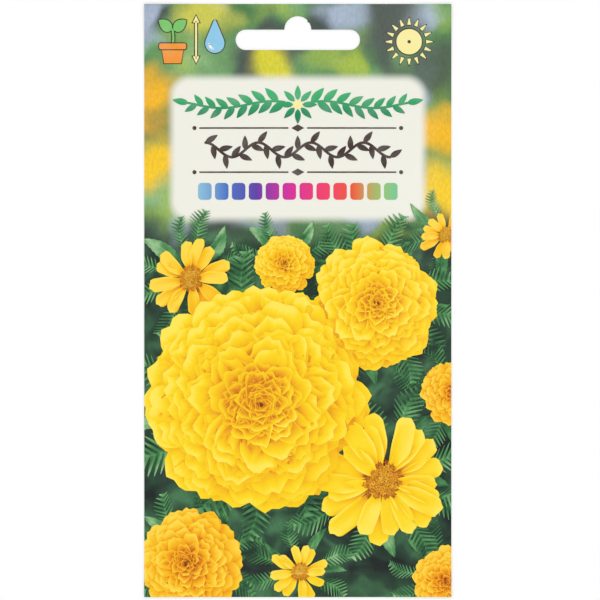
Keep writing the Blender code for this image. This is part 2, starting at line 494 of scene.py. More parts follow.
@dataclass(frozen=True)
class GardenInk(PrintedFilm):
    """The full-bleed picture ground: an out-of-focus garden with a pale panel for a name."""

    name: str = "garden print"
    greens: tuple = ((0.30, ink(70, 118, 74)), (0.50, ink(104, 152, 96)), (0.68, ink(140, 182, 126)))
    patches: tuple = (
        Patch(ink(176, 198, 74), 31.0, 0.050, 0.50, 0.74, 0.85),
        Patch(ink(70, 74, 80), 77.0, 0.042, 0.49, 0.70, 0.92),
        Patch(ink(178, 192, 214), 143.0, 0.055, 0.55, 0.73, 0.85),
    )
    spots: tuple = (
        Spot(-24.0, 75.0, 8.0, ink(216, 210, 84), 0.85),
        Spot(-7.0, 62.0, 6.0, ink(224, 216, 54), 0.9),
        Spot(24.0, 74.0, 10.0, ink(82, 84, 86), 0.9),
        Spot(35.0, 60.0, 8.0, ink(80, 96, 80), 0.9),
        Spot(-38.5, 52.0, 8.0, ink(248, 186, 34)),
        Spot(-37.5, 36.0, 7.5, ink(252, 204, 36)),
        Spot(38.5, 44.0, 7.0, ink(248, 190, 36)),
        Spot(37.5, 28.0, 7.5, ink(252, 208, 44)),
    )
    undergrowth: tuple = ((0.34, ink(24, 34, 32)), (0.52, ink(42, 70, 52)), (0.68, ink(70, 118, 80)))
    undergrowth_y: Point2 = (10.0, 26.0)
    panel_half: Point2 = (33.0, 18.6)
    panel_y: float = 39.6
    panel_corner: float = 5.0
    panel_feather: float = 1.5

    def colour(self, bench: NodeBench, place: Socket) -> object:
        """Give the garden's colour: greens, soft patches, far flowers, undergrowth, and the panel on top.

        Args:
            bench: The material's tree.
            place: The point, as Object coordinates.

        Returns:
            A colour, or the output that carries one.
        """
        flat = bench.vector("MULTIPLY", place, (1 / MM, 1 / MM, 0.0))
        feeds = {"Vector": flat, "Scale": 0.10, "Detail": 1.0}
        drift = bench.add("ShaderNodeTexNoise", feeds).outputs["Color"]
        push = bench.vector("MULTIPLY", bench.vector("SUBTRACT", drift, (0.5, 0.5, 0.5)), (12.0, 12.0, 0.0))
        drifted = bench.vector("ADD", flat, push)
        colour = bench.ramp(bench.noise(drifted, 0.06, 1.5), self.greens)
        for patch in self.patches:
            shifted = bench.vector("ADD", drifted, (patch.shift, -patch.shift, 0.0))
            cloud = bench.noise(shifted, patch.scale, 1.0)
            mask = bench.ease(cloud, patch.low, patch.high, 0.0, patch.strength)
            colour = bench.mix(mask, colour, patch.colour)
        for spot in self.spots:
            away = bench.vector("DISTANCE", drifted, (spot.x, spot.y, 0.0))
            mask = bench.ease(away, spot.radius * 0.35, spot.radius * 1.35, spot.strength, 0.0)
            colour = bench.mix(mask, colour, spot.colour)
        low, high = self.undergrowth_y
        depth = bench.ramp(bench.noise(drifted, 0.11, 2.0), self.undergrowth)
        colour = bench.mix(bench.ease(bench.part(drifted, "Y"), low, high, 1.0, 0.0), colour, depth)
        streaked = bench.vector("MULTIPLY", flat, (1.0, 0.45, 0.0))
        grain = bench.ease(bench.noise(streaked, 1.6, 3.0, 0.6), 0.25, 0.75, 0.91, 1.09)
        feeds = {"Red": grain, "Green": grain, "Blue": grain}
        level = bench.add("ShaderNodeCombineColor", feeds).outputs["Color"]
        colour = bench.mix(1.0, colour, level, "MULTIPLY")
        return bench.mix(self.panel(bench, flat), colour, Ink.CREAM.value.low)

    def panel(self, bench: NodeBench, flat: Socket) -> Socket:
        """Give the pale panel's cover at a place: full inside a rounded box, feathered at its edge.

        Args:
            bench: The material's tree.
            flat: The point, in millimetres.

        Returns:
            1 on the panel, 0 off it.
        """
        centred = bench.vector("SUBTRACT", flat, (0.0, self.panel_y, 0.0))
        beyond = []
        for axis, half in zip("XY", self.panel_half):
            apart = bench.math("ABSOLUTE", bench.part(centred, axis))
            over = bench.math("SUBTRACT", apart, half - self.panel_corner)
            over = bench.math("MAXIMUM", over, 0.0)
            beyond.append(bench.math("MULTIPLY", over, over))
        away = bench.math("SQRT", bench.math("ADD", *beyond))
        inner, outer = self.panel_corner - self.panel_feather, self.panel_corner + self.panel_feather
        return bench.ease(away, inner, outer, 1.0, 0.0)


@dataclass(frozen=True)
class BackInk(PrintedFilm):
    """The back's ground: cream paper with a green band at its head and a narrow one at its foot."""

    name: str = "back print"
    band_y: float = 60.0 * MM
    foot_y: float = -72.0 * MM
    edge: float = 0.15 * MM

    def colour(self, bench: NodeBench, place: Socket) -> object:
        """Give the ground's colour by its height on the packet.

        Args:
            bench: The material's tree.
            place: The point, as Object coordinates.

        Returns:
            A colour, or the output that carries one.
        """
        height = bench.part(place, "Y")
        head = bench.ease(height, self.band_y - self.edge, self.band_y + self.edge)
        foot = bench.ease(height, self.foot_y - self.edge, self.foot_y + self.edge, 1.0, 0.0)
        band = bench.mix(bench.noise(place, 60.0), Ink.PINE.value.low, ink(52, 140, 90))
        return bench.mix(bench.math("MAXIMUM", head, foot), Ink.CREAM.value.low, band)


@dataclass(frozen=True)
class DryFinish:
    """A matt, fibrous finish of two tones: bare paper, or the coat of a seed and its tuft."""

    name: str
    dark: Colour
    light: Colour
    grain: float
    roughness: float
    relief: float = 0.02 * MM

    def build(self) -> bpy.types.Material:
        """Make the material.

        Returns:
            The material.
        """
        made = bpy.data.materials.new(self.name)
        made.use_nodes = True
        bench = NodeBench(made.node_tree)
        surface = made.node_tree.nodes["Principled BSDF"]
        place = bench.add("ShaderNodeTexCoord").outputs["Object"]
        fibres = bench.noise(place, self.grain, 4.0, 0.65)
        bench.feed(surface.inputs["Base Color"], bench.ramp(fibres, ((0.3, self.dark), (0.7, self.light))))
        bench.feed(surface.inputs["Roughness"], self.roughness)
        bump = bench.add("ShaderNodeBump", {"Height": fibres, "Strength": 0.4, "Distance": self.relief})
        bench.feed(surface.inputs["Normal"], bump.outputs["Normal"])
        return made


BARE_PAPER = DryFinish("bare paper", ink(228, 226, 216), ink(247, 246, 241), 1800.0, 0.85)
SEED_COAT = DryFinish("seed coat", ink(22, 18, 16), ink(74, 60, 48), 2600.0, 0.55, 0.05 * MM)
SEED_TUFT = DryFinish("seed tuft", ink(170, 140, 92), ink(226, 204, 158), 2600.0, 0.7, 0.05 * MM)


@dataclass
class PacketShape:
    """The form of the lying packet: where its two sheets run, with the slight waves of handled paper."""

    half_width: float
    half_height: float
    sheet: float = 0.12 * MM
    seal: float = 0.03 * MM
    side_seal: float = 4.0 * MM
    foot_seal: float = 6.0 * MM
    header_seal: float = 16.0 * MM
    rise: float = 2.02 * MM
    fullness: float = 0.75
    sag: float = 0.80
    back_lift: float = 0.05 * MM
    wave_count: int = 9
    wave_lengths: Point2 = (9.0 * MM, 34.0 * MM)
    wave_height: float = 0.045 * MM
    pucker_height: float = 0.040 * MM
    pucker_length: float = 8.0 * MM
    pucker_reach: float = 5.0 * MM
    curl: float = 0.30 * MM
    curl_reach: float = 20.0 * MM
    random_seed: int = 5
    waves: list = field(default_factory=list)

    def __post_init__(self) -> None:
        """Draw the waves' headings, lengths and starts once."""
        draw = random.Random(self.random_seed)
        for _ in range(self.wave_count):
            length = draw.uniform(*self.wave_lengths)
            heading = draw.uniform(0, math.pi)
            turns = 2 * math.pi / length
            size = self.wave_height * length / self.wave_lengths[1]
            start = draw.uniform(0, 2 * math.pi)
            self.waves.append((turns * math.cos(heading), turns * math.sin(heading), start, size))

    @property
    def pouch_half(self) -> float:
        """Half the width of the pouch between its side seals."""
        return self.half_width - self.side_seal

    @property
    def pouch_ends(self) -> Point2:
        """The pouch's foot and head along Y."""
        return -self.half_height + self.foot_seal, self.half_height - self.header_seal

    def pillow(self, x: np.ndarray, y: np.ndarray) -> np.ndarray:
        """Say how full the pouch is at a place, from 0 on the seals to 1.

        Args:
            x: Places across the packet.
            y: Places along it.

        Returns:
            The fullness at each place.
        """
        foot, head = self.pouch_ends
        across = np.clip(np.abs(x) / self.pouch_half, 0, 1)
        along = np.clip((y - foot) / (head - foot), 0, 1)
        sagged = 2 * along**self.sag - 1
        return ((1 - across**2) * (1 - sagged**2)) ** self.fullness

    def bend(self, x: np.ndarray, y: np.ndarray) -> np.ndarray:
        """Say how far the packet's corners curl up off the table.

        Args:
            x: Places across the packet.
            y: Places along it.

        Returns:
            The lift at each place.
        """
        in_x = np.clip((np.abs(x) - self.half_width + self.curl_reach) / self.curl_reach, 0, 1)
        in_y = np.clip((np.abs(y) - self.half_height + self.curl_reach) / self.curl_reach, 0, 1)
        return self.curl * np.where(y > 0, 1.0, 0.5) * (in_x * in_y) ** 1.5

    def front(self, x: np.ndarray, y: np.ndarray) -> np.ndarray:
        """Give the height of the printed face of the front sheet.

        Args:
            x: Places across the packet.
            y: Places along it.

        Returns:
            The height at each place.
        """
        full = self.pillow(x, y)
        waves = sum(size * np.sin(a * x + b * y + start) for a, b, start, size in self.waves)
        foot, head = self.pouch_ends
        in_side = np.clip(self.pouch_half - np.abs(x), 0, None)
        in_end = np.clip(np.minimum(y - foot, head - y), 0, None)
        turns = 2 * math.pi / self.pucker_length
        side = np.exp(-in_side / self.pucker_reach) * np.sin(turns * y + 3 * np.sin(40 * y))
        end = np.exp(-in_end / self.pucker_reach) * np.sin(turns * x + 2 * np.sin(55 * x))
        near_seal = smoothstep(0.0, 1.5 * MM, np.minimum(in_side, in_end))
        pucker = self.pucker_height * near_seal * (side + end)
        level = self.back_lift + 2 * self.sheet + self.seal
        return level + self.rise * full + waves * full**0.5 + pucker + self.bend(x, y)

    def back(self, x: np.ndarray, y: np.ndarray) -> np.ndarray:
        """Give the height of the printed face of the back sheet, which lies on the table."""
        return self.back_lift + self.bend(x, y)

    def face(self, side: Side) -> Callable[[np.ndarray, np.ndarray], np.ndarray]:
        """Give the height function of a printed face."""
        return self.front if side is Side.FRONT else self.back

    def outward(self, side: Side, x: np.ndarray, y: np.ndarray, step: float = 0.05 * MM) -> np.ndarray:
        """Give the directions straight out of a printed face, as rows of x, y, z.

        Args:
            side: Which printed face.
            x: Places across the packet.
            y: Places along it.
            step: How far apart the slope is read.

        Returns:
            One unit vector for each place.
        """
        level = self.face(side)
        along_x = (level(x + step, y) - level(x - step, y)) / (2 * step)
        along_y = (level(x, y + step) - level(x, y - step)) / (2 * step)
        normals = np.stack([-along_x, -along_y, np.ones_like(along_x)], axis=-1) * side.value
        return normals / np.linalg.norm(normals, axis=-1, keepdims=True)


def circle(radius: float, steps: int = 28, x: float = 0.0, y: float = 0.0) -> Outline:
    """Walk round a circle."""
    turns = [2 * math.pi * i / steps for i in range(steps)]
    return [(x + radius * math.cos(t), y + radius * math.sin(t)) for t in turns]


def arc(x: float, y: float, radius: float, start: float, end: float, steps: int) -> Outline:
    """Walk along an arc, its angles in degrees."""
    angles = [math.radians(start + (end - start) * i / steps) for i in range(steps + 1)]
    return [(x + radius * math.cos(a), y + radius * math.sin(a)) for a in angles]


def rounded_box(width: float, height: float, corner: float, x: float = 0.0, y: float = 0.0) -> Outline:
    """Walk round a box with rounded corners, centred on a place.

    Args:
        width: Its size along X.
        height: Its size along Y.
        corner: The corners' radius.
        x: Its middle.
        y: Its middle.

    Returns:
        The outline, anticlockwise.
    """
    half, tall = width / 2 - corner, height / 2 - corner
    corners = ((half, tall, 0), (-half, tall, 90), (-half, -tall, 180), (half, -tall, 270))
    return [p for cx, cy, a in corners for p in arc(x + cx, y + cy, corner, a, a + 90, 4)]


def grown(outline: Outline, by: float) -> Outline:
    """Push an outline that runs anticlockwise outwards by a margin.

    Args:
        outline: The outline.
        by: The margin.

    Returns:
        The larger outline.
    """
    points = np.array(outline)
    ahead = np.roll(points, -1, axis=0) - np.roll(points, 1, axis=0)
    out = np.stack([ahead[:, 1], -ahead[:, 0]], axis=-1)
    out /= np.maximum(np.linalg.norm(out, axis=1, keepdims=True), 1e-9)
    return [tuple(p) for p in points + by * out]


def stored(mesh: bpy.types.Mesh, name: str, values: np.ndarray) -> None:
    """Keep one number for each vertex under a name that a material reads."""
    held = mesh.attributes.get(name) or mesh.attributes.new(name, "FLOAT", "POINT")
    held.data.foreach_set("value", np.asarray(values, np.float32))


def kept(mesh: bpy.types.Mesh, name: str) -> np.ndarray:
    """Read the numbers that the vertices carry under a name, or zeros where they carry none.

    Args:
        mesh: The mesh.
        name: What the numbers are called.

    Returns:
        One number for each vertex.
    """
    values = np.zeros(len(mesh.vertices), np.float32)
    if name in mesh.attributes:
        mesh.attributes[name].data.foreach_get("value", values)
    return values.astype(float)


def points_of(mesh: bpy.types.Mesh) -> np.ndarray:
    """Read a mesh's vertices as rows of x, y, z.

    Args:
        mesh: The mesh.

    Returns:
        The rows.
    """
    flat = np.empty(len(mesh.vertices) * 3, np.float32)
    mesh.vertices.foreach_get("co", flat)
    return flat.reshape(-1, 3).astype(float)


def set_points(mesh: bpy.types.Mesh, points: np.ndarray) -> None:
    """Write a mesh's vertices."""
    mesh.vertices.foreach_set("co", points.astype(np.float32).ravel())
    mesh.update()


def in_scene(name: str, mesh: bpy.types.Mesh, *finishes: bpy.types.Material) -> Piece:
    """Make an object of a mesh and link it to the scene.

    Args:
        name: The object's name.
        mesh: Its mesh.
        finishes: Materials to add to the mesh.

    Returns:
        The object.
    """
    made = bpy.data.objects.new(name, mesh)
    for finish in finishes:
        mesh.materials.append(finish)
    bpy.context.scene.collection.objects.link(made)
    return made


def grid_mesh(name: str, points: np.ndarray, numbers: dict[str, np.ndarray]) -> bpy.types.Mesh:
    """Make a quad sheet.

    Args:
        name: The mesh's name.
        points: Its vertices, rows by columns by 3.
        numbers: Values to store on the vertices, rows by columns.

    Returns:
        The mesh, shaded smooth.
    """
    rows, columns = points.shape[:2]
    index = np.arange(rows * columns).reshape(rows, columns)
    quads = np.stack([index[:-1, :-1], index[:-1, 1:], index[1:, 1:], index[1:, :-1]], axis=-1).reshape(-1, 4)
    mesh = bpy.data.meshes.new(name)
    mesh.from_pydata(points.reshape(-1, 3).tolist(), [], quads.tolist())
    for key, values in numbers.items():
        stored(mesh, key, values.ravel())
    mesh.shade_smooth()
    return mesh


def joined(name: str, pieces: Sequence[Piece]) -> Piece:
    """Make one object of several, with their finishes and values kept.

    Args:
        name: The new object's name.
        pieces: What to join. They are deleted.

    Returns:
        The new object.
    """
    bm = bmesh.new()
    finishes: list[bpy.types.Material] = []
    for piece in pieces:
        first = len(bm.faces)
        bm.from_mesh(piece.data)
        slots = []
        for finish in piece.data.materials:
            if finish not in finishes:
                finishes.append(finish)
            slots.append(finishes.index(finish))
        bm.faces.ensure_lookup_table()
        for face in bm.faces[first:]:
            face.material_index = slots[face.material_index]
    mesh = bpy.data.meshes.new(name)
    bm.to_mesh(mesh)
    bm.free()
    for piece in pieces:
        bpy.data.objects.remove(piece, do_unlink=True)
    return in_scene(name, mesh, *finishes)


class RuleTree:
    """A Geometry Nodes tree with named inputs, run on an empty object and kept as a plain mesh."""

    SOCKETS = {float: "NodeSocketFloat", int: "NodeSocketInt"}

    def __init__(self, name: str) -> None:
        """Start a tree that gives out one geometry.

        Args:
            name: The tree's name.
        """
        self.tree = bpy.data.node_groups.new(name, "GeometryNodeTree")
        self.tree.interface.new_socket("Geometry", in_out="OUTPUT", socket_type="NodeSocketGeometry")
        self.bench = NodeBench(self.tree)
        self.given = self.tree.nodes.new("NodeGroupInput")
        self.result = self.tree.nodes.new("NodeGroupOutput")
        self.identifiers: dict[str, str] = {}

    def ask(self, name: str, default: object, kind: str | None = None) -> Socket:
        """Add a named input.

        Args:
            name: The input's name.
            default: Its value until a run gives another, or None.
            kind: Blender's socket type, where the default doesn't show it.

        Returns:
            The output that carries the input's value inside the tree.
        """
        kind = kind or self.SOCKETS[type(default)]
        made = self.tree.interface.new_socket(name, in_out="INPUT", socket_type=kind)
        if default is not None:
            made.default_value = default
        self.identifiers[name] = made.identifier
        return self.given.outputs[name]

    def random(self, low: float, high: float, seed: object) -> Socket:
        """Draw a number for each point or instance."""
        node = self.bench.add("FunctionNodeRandomValue", {2: low, 3: high, "Seed": seed}, data_type="FLOAT")
        return node.outputs[1]

    def close(self, geometry: Socket, finish: Socket) -> None:
        """End the tree: real copies, then their material.

        Args:
            geometry: What the rule has made.
            finish: The material's input.
        """
        real = self.bench.add("GeometryNodeRealizeInstances", {"Geometry": geometry}).outputs["Geometry"]
        dressed = self.bench.add("GeometryNodeSetMaterial", {"Geometry": real, "Material": finish})
        self.tree.links.new(dressed.outputs["Geometry"], self.result.inputs["Geometry"])

    def run(self, name: str, **values: object) -> Piece:
        """Grow one object.

        Args:
            name: The object's name.
            values: The inputs that differ from their defaults. An underscore stands for a space.

        Returns:
            The object, with a plain mesh and no modifier.
        """
        grown_piece = in_scene(name, bpy.data.meshes.new(name))
        rule = grown_piece.modifiers.new("rule", "NODES")
        rule.node_group = self.tree
        for key, value in values.items():
            rule[self.identifiers[key.replace("_", " ")]] = value
        graph = bpy.context.evaluated_depsgraph_get()
        mesh = bpy.data.meshes.new_from_object(
            grown_piece.evaluated_get(graph), preserve_all_data_layers=True, depsgraph=graph
        )
        grown_piece.modifiers.remove(rule)
        grown_piece.data = mesh
        return grown_piece


class Form(Enum):
    """What a bloom is made of, in the order of the collection that holds them."""

    HEART = 0
    MIDDLE = 1
    OUTER = 2
    RAY = 3
    FLORET = 4
    LEAF = 5
    FROND = 6


@dataclass(frozen=True)
class PetalCut:
    """How one form of petal is cut. Its length is 1."""

    width: float
    roll: float
    droop: float
    frill: float = 0.05
    notch: float = 0.030


@dataclass
class FormCutter:
    """Makes petals, florets and leaves of length 1 along +X, with their root at the origin."""

    rows: int = 13
    columns: int = 11
    petals: dict = field(
        default_factory=lambda: {
            Form.HEART: PetalCut(0.62, 0.55, -0.12, 0.06),
            Form.MIDDLE: PetalCut(0.78, 0.26, 0.14, 0.07),
            Form.OUTER: PetalCut(0.74, 0.10, 0.20, 0.06),
            Form.RAY: PetalCut(0.36, 0.30, 0.10, 0.02, 0.015),
        }
    )
    floret_lobes: int = 5
    floret_profile: tuple = ((0.0, 0.22), (0.6, 0.30), (0.9, 0.46), (1.0, 0.62), (0.8, 0.34), (0.6, 0.02))
    leaf_teeth: int = 9
    leaf_tooth: float = 0.14
    leaflets: int = 10
    vein_pairs: float = LeafInk.vein_pairs

    def grid(self, rows: int, columns: int) -> tuple[np.ndarray, np.ndarray]:
        """Give how far along and across each vertex of a sheet lies.

        Args:
            rows: Rows of vertices along.
            columns: Columns across.

        Returns:
            Shares along, 0 to 1, and across, -1 to 1.
        """
        along = np.linspace(0, 1, rows)[:, None]
        across = np.linspace(-1, 1, columns)[None, :]
        return np.broadcast_arrays(along, across)

    def petal(self, cut: PetalCut, draw: random.Random) -> SheetForm:
        """Shape a petal: a narrow claw, a broad frilled blade and a rolled or open section.

        Args:
            cut: The petal's proportions.
            draw: Where its chances come from.

        Returns:
            Its points, and how far along and across each one lies.
        """
        along, across = self.grid(self.rows, self.columns)
        along, across = along**0.85, np.sin(0.5 * math.pi * across)
        starts = [draw.uniform(0, 2 * math.pi) for _ in range(4)]
        half = cut.width / 2 * (0.20 + 0.80 * smoothstep(0.0, 0.68, along))
        end = 0.46 * cut.width * (1 - np.sqrt(1 - across**2))
        lobes = cut.notch * (np.cos(6.0 * across + starts[0]) + 0.5 * np.cos(11.0 * across + starts[1]))
        ripple = np.sin(5.2 * across + starts[2]) * (0.35 + np.abs(across))
        ripple = ripple + 0.45 * np.sin(9.0 * across + starts[3] + 4 * along)
        roll = cut.roll * across**2 * (1.25 - 0.55 * along) * half * 2
        x = along * (1 - end + lobes * along**3)
        z = roll + cut.frill * along**2 * ripple - cut.droop * along**2 + 0.10 * np.sin(math.pi * along)
        return np.stack([x, half * across, z], axis=-1), along, across

    def floret(self, draw: random.Random) -> SheetForm:
        """Shape a floret: a little tube that flares into lobes round a shallow cup.

        Args:
            draw: Where its chances come from.

        Returns:
            Its points, and how far along and across each one lies.
        """
        heights, radii = (np.array(c)[:, None] for c in zip(*self.floret_profile))
        turn = np.linspace(-1, 1, 4 * self.floret_lobes + 1)[None, :]
        angle = math.pi * (turn + draw.uniform(0, 0.4))
        radius = radii * (1 + 0.28 * heights**2 * np.cos(self.floret_lobes * angle))
        along = heights + 0 * turn
        points = np.stack([along, radius * np.cos(angle), radius * np.sin(angle)], axis=-1)
        return points, along, turn + 0 * heights

    def leaf(self, draw: random.Random) -> SheetForm:
        """Shape a toothed leaf, folded at its midrib and bowed to one side.

        Args:
            draw: Where its chances come from.

        Returns:
            Its points, and how far along and across each one lies.
        """
        along, across = self.grid(3 * self.rows, self.columns + 2)
        saw = 1 - self.leaf_tooth * ((along * self.leaf_teeth) % 1.0) * np.abs(across) ** 3
        wide = draw.uniform(0.24, 0.34)
        half = wide / 2 * np.clip(np.sin(math.pi * along**0.85), 0, 1) ** 0.8 * saw + 0.01 * (1 - along)
        y = half * across + draw.choice((-0.10, 0.10)) * np.sin(math.pi * along)
        z = 0.30 * np.abs(across) * half + 0.02 * np.sin(9 * along + 3 * across)
        z = z - draw.uniform(0, 0.1) * along**2
        return np.stack([along, y, z], axis=-1), along, across

    def frond(self, draw: random.Random) -> SheetForm:
        """Shape a feathered leaf: pairs of narrow leaflets that slant forward from a thin rib.

        Args:
            draw: Where its chances come from.

        Returns:
            Its points, and how far along and across each one lies.
        """
        along, across = self.grid(8 * self.leaflets, 7)
        pulse = (0.5 - 0.5 * np.cos(2 * math.pi * self.leaflets * along)) ** 0.9
        reach = draw.uniform(0.20, 0.26) * np.clip(np.sin(math.pi * (0.10 + 0.86 * along)), 0, 1) ** 0.7
        away = np.abs(across) * (0.012 + reach * pulse)
        y = np.sign(across) * away + draw.choice((-0.12, 0.12)) * np.sin(math.pi * along)
        z = 0.35 * away + 0.03 * np.sin(7 * along + 2 * across) - draw.uniform(0, 0.1) * along**2
        veins = (self.leaflets * along - 0.25) / self.vein_pairs + 0.22 * np.abs(across)
        return np.stack([0.88 * along + 0.75 * away, y, z], axis=-1), veins, across

    def cut(self, form: Form, number: int) -> Piece:
        """Make one variant of a form, named so that the collection sorts it into its place.

        Args:
            form: Which form.
            number: Which variant.

        Returns:
            An object that is in no scene.
        """
        draw = random.Random(f"{form.name}{number}")
        if form in self.petals:
            points, along, across = self.petal(self.petals[form], draw)
        else:
            points, along, across = getattr(self, form.name.lower())(draw)
        mesh = grid_mesh(f"{form.value}_{number}", points, {"along": along, "across": across})
        return bpy.data.objects.new(mesh.name, mesh)


@dataclass(frozen=True)
class Whorl:
    """One set of petals, florets or leaves in a bloom: lengths in shares of its radius, angles in degrees."""

    forms: tuple[Form, Form]
    spread: float
    dome: float
    lift: Point2
    length: Point2
    height: float = 0.0
    count: int | None = None


class BloomKind(Enum):
    """The kinds of bloom in the posy."""

    DOUBLE = (
        Whorl((Form.HEART, Form.OUTER), 0.42, 0.30, (86.0, 2.0), (0.24, 0.60)),
        Whorl((Form.FLORET, Form.FLORET), 0.13, 0.04, (90.0, 80.0), (0.07, 0.09), 0.26, 46),
    )
    SINGLE = (
        Whorl((Form.RAY, Form.RAY), 0.16, 0.04, (10.0, 2.0), (0.80, 0.84)),
        Whorl((Form.FLORET, Form.FLORET), 0.27, 0.10, (90.0, 66.0), (0.050, 0.065), 0.04, 150),
    )


@dataclass
class Bloom:
    """One flower of the pictured posy. Places and sizes are in millimetres on the packet's front."""

    name: str
    kind: BloomKind
    x: float
    y: float
    radius: float
    petals: int
    warmth: float = 0.0
    depth: float = 0.0
    lean: float = 8.0
    lean_to: float = 0.0
    seed: int = 1


class PosyBuilder:
    """Grows blooms by rule."""

    VARIANTS = 3

    def __init__(self) -> None:
        """Cut the forms and write the rule that sets them in a bloom."""
        cutter = FormCutter()
        self.forms = bpy.data.collections.new("posy forms")
        for form in Form:
            for number in range(self.VARIANTS):
                self.forms.objects.link(cutter.cut(form, number))
        self.rule = self.whorl_rule()

    def whorl_rule(self) -> RuleTree:
        """Write the whorl's rule: forms a golden angle apart, from an upright heart to a flat rim.

        Returns:
            The finished tree.
        """
        rule = RuleTree("whorl rule")
        bench = rule.bench
        count = rule.ask("Count", 90)
        first, last = rule.ask("First Form", 0), rule.ask("Last Form", 2)
        spread, dome = rule.ask("Spread", 0.4), rule.ask("Dome", 0.3)
        lift_in, lift_out = rule.ask("Inner Lift", 1.4), rule.ask("Outer Lift", 0.0)
        length_in, length_out = rule.ask("Inner Length", 0.3), rule.ask("Outer Length", 0.6)
        seed = rule.ask("Seed", 1)
        forms = rule.ask("Forms", None, "NodeSocketCollection")
        finish = rule.ask("Finish", None, "NodeSocketMaterial")

        def luck(low: float, high: float, salt: int) -> Socket:
            """Draw a number for each petal."""
            return rule.random(low, high, bench.math("ADD", seed, salt))

        def between(share: object, start: object, end: object) -> Socket:
            """Blend evenly from start to end."""
            return bench.math("MULTIPLY_ADD", share, bench.math("SUBTRACT", end, start), start)

        index = bench.add("GeometryNodeInputIndex").outputs[0]
        share = bench.math("DIVIDE", bench.math("ADD", index, 0.6), count)
        out = bench.math("SQRT", share)
        angle = bench.math("MULTIPLY_ADD", index, GOLDEN_ANGLE, luck(-0.12, 0.12, 11))
        reach = bench.math("MULTIPLY", out, spread)
        place = bench.join(
            bench.math("MULTIPLY", reach, bench.math("COSINE", angle)),
            bench.math("MULTIPLY", reach, bench.math("SINE", angle)),
            bench.math("MULTIPLY", bench.math("SUBTRACT", 1.0, share), dome),
        )
        cloud = bench.add("GeometryNodePoints", {"Count": count, "Position": place}).outputs["Geometry"]
        lift = bench.math("ADD", between(out, lift_in, lift_out), luck(-0.15, 0.15, 23))
        turn = bench.join(luck(-0.25, 0.25, 31), bench.math("MULTIPLY", lift, -1.0), angle)
        size = bench.math("MULTIPLY", between(out, length_in, length_out), luck(0.88, 1.08, 41))
        steps = bench.math("ADD", bench.math("SUBTRACT", last, first), 0.999)
        form = bench.math("FLOOR", bench.math("MULTIPLY", bench.math("POWER", out, 1.4), steps))
        form = bench.math("MULTIPLY", bench.math("ADD", form, first), self.VARIANTS)
        chosen = bench.math("ADD", form, bench.math("FLOOR", luck(0.0, self.VARIANTS - 0.001, 53)))
        shapes = bench.add(
            "GeometryNodeCollectionInfo",
            {"Collection": forms, "Separate Children": True, "Reset Children": True},
        )
        feeds = {"Points": cloud, "Instance": shapes.outputs["Instances"], "Pick Instance": True}
        feeds |= {"Instance Index": chosen, "Rotation": turn, "Scale": size}
        petals = bench.add("GeometryNodeInstanceOnPoints", feeds).outputs["Instances"]
        feeds = {"Geometry": petals, "Name": "pick", "Value": luck(0.0, 1.0, 61)}
        picked = bench.add("GeometryNodeStoreNamedAttribute", feeds, data_type="FLOAT", domain="INSTANCE")
        rule.close(picked.outputs["Geometry"], finish)
        return rule

    def whorl(self, bloom: Bloom, whorl: Whorl, finish: bpy.types.Material) -> Piece:
        """Grow one whorl of a bloom and set it in its place in the posy, at real depth.

        Args:
            bloom: The bloom it belongs to.
            whorl: Its forms and proportions.
            finish: Its material.

        Returns:
            The whorl, as modelled.
        """
        radius = bloom.radius * MM
        grown_piece = self.rule.run(
            f"{bloom.name}_{whorl.forms[1].name.lower()}",
            Count=whorl.count or bloom.petals,
            First_Form=whorl.forms[0].value,
            Last_Form=whorl.forms[1].value,
            Spread=whorl.spread * radius,
            Dome=whorl.dome * radius,
            Inner_Lift=math.radians(whorl.lift[0]),
            Outer_Lift=math.radians(whorl.lift[1]),
            Inner_Length=whorl.length[0] * radius,
            Outer_Length=whorl.length[1] * radius,
            Seed=bloom.seed,
            Forms=self.forms,
            Finish=finish,
        )
        towards = Matrix.Rotation(math.radians(bloom.lean_to), 4, "Z")
        lean = towards @ Matrix.Rotation(math.radians(bloom.lean), 4, "Y") @ towards.inverted()
        place = Matrix.Translation((bloom.x * MM, bloom.y * MM, bloom.depth * MM))
        grown_piece.data.transform(place @ lean @ Matrix.Translation((0, 0, whorl.height * radius)))
        return grown_piece


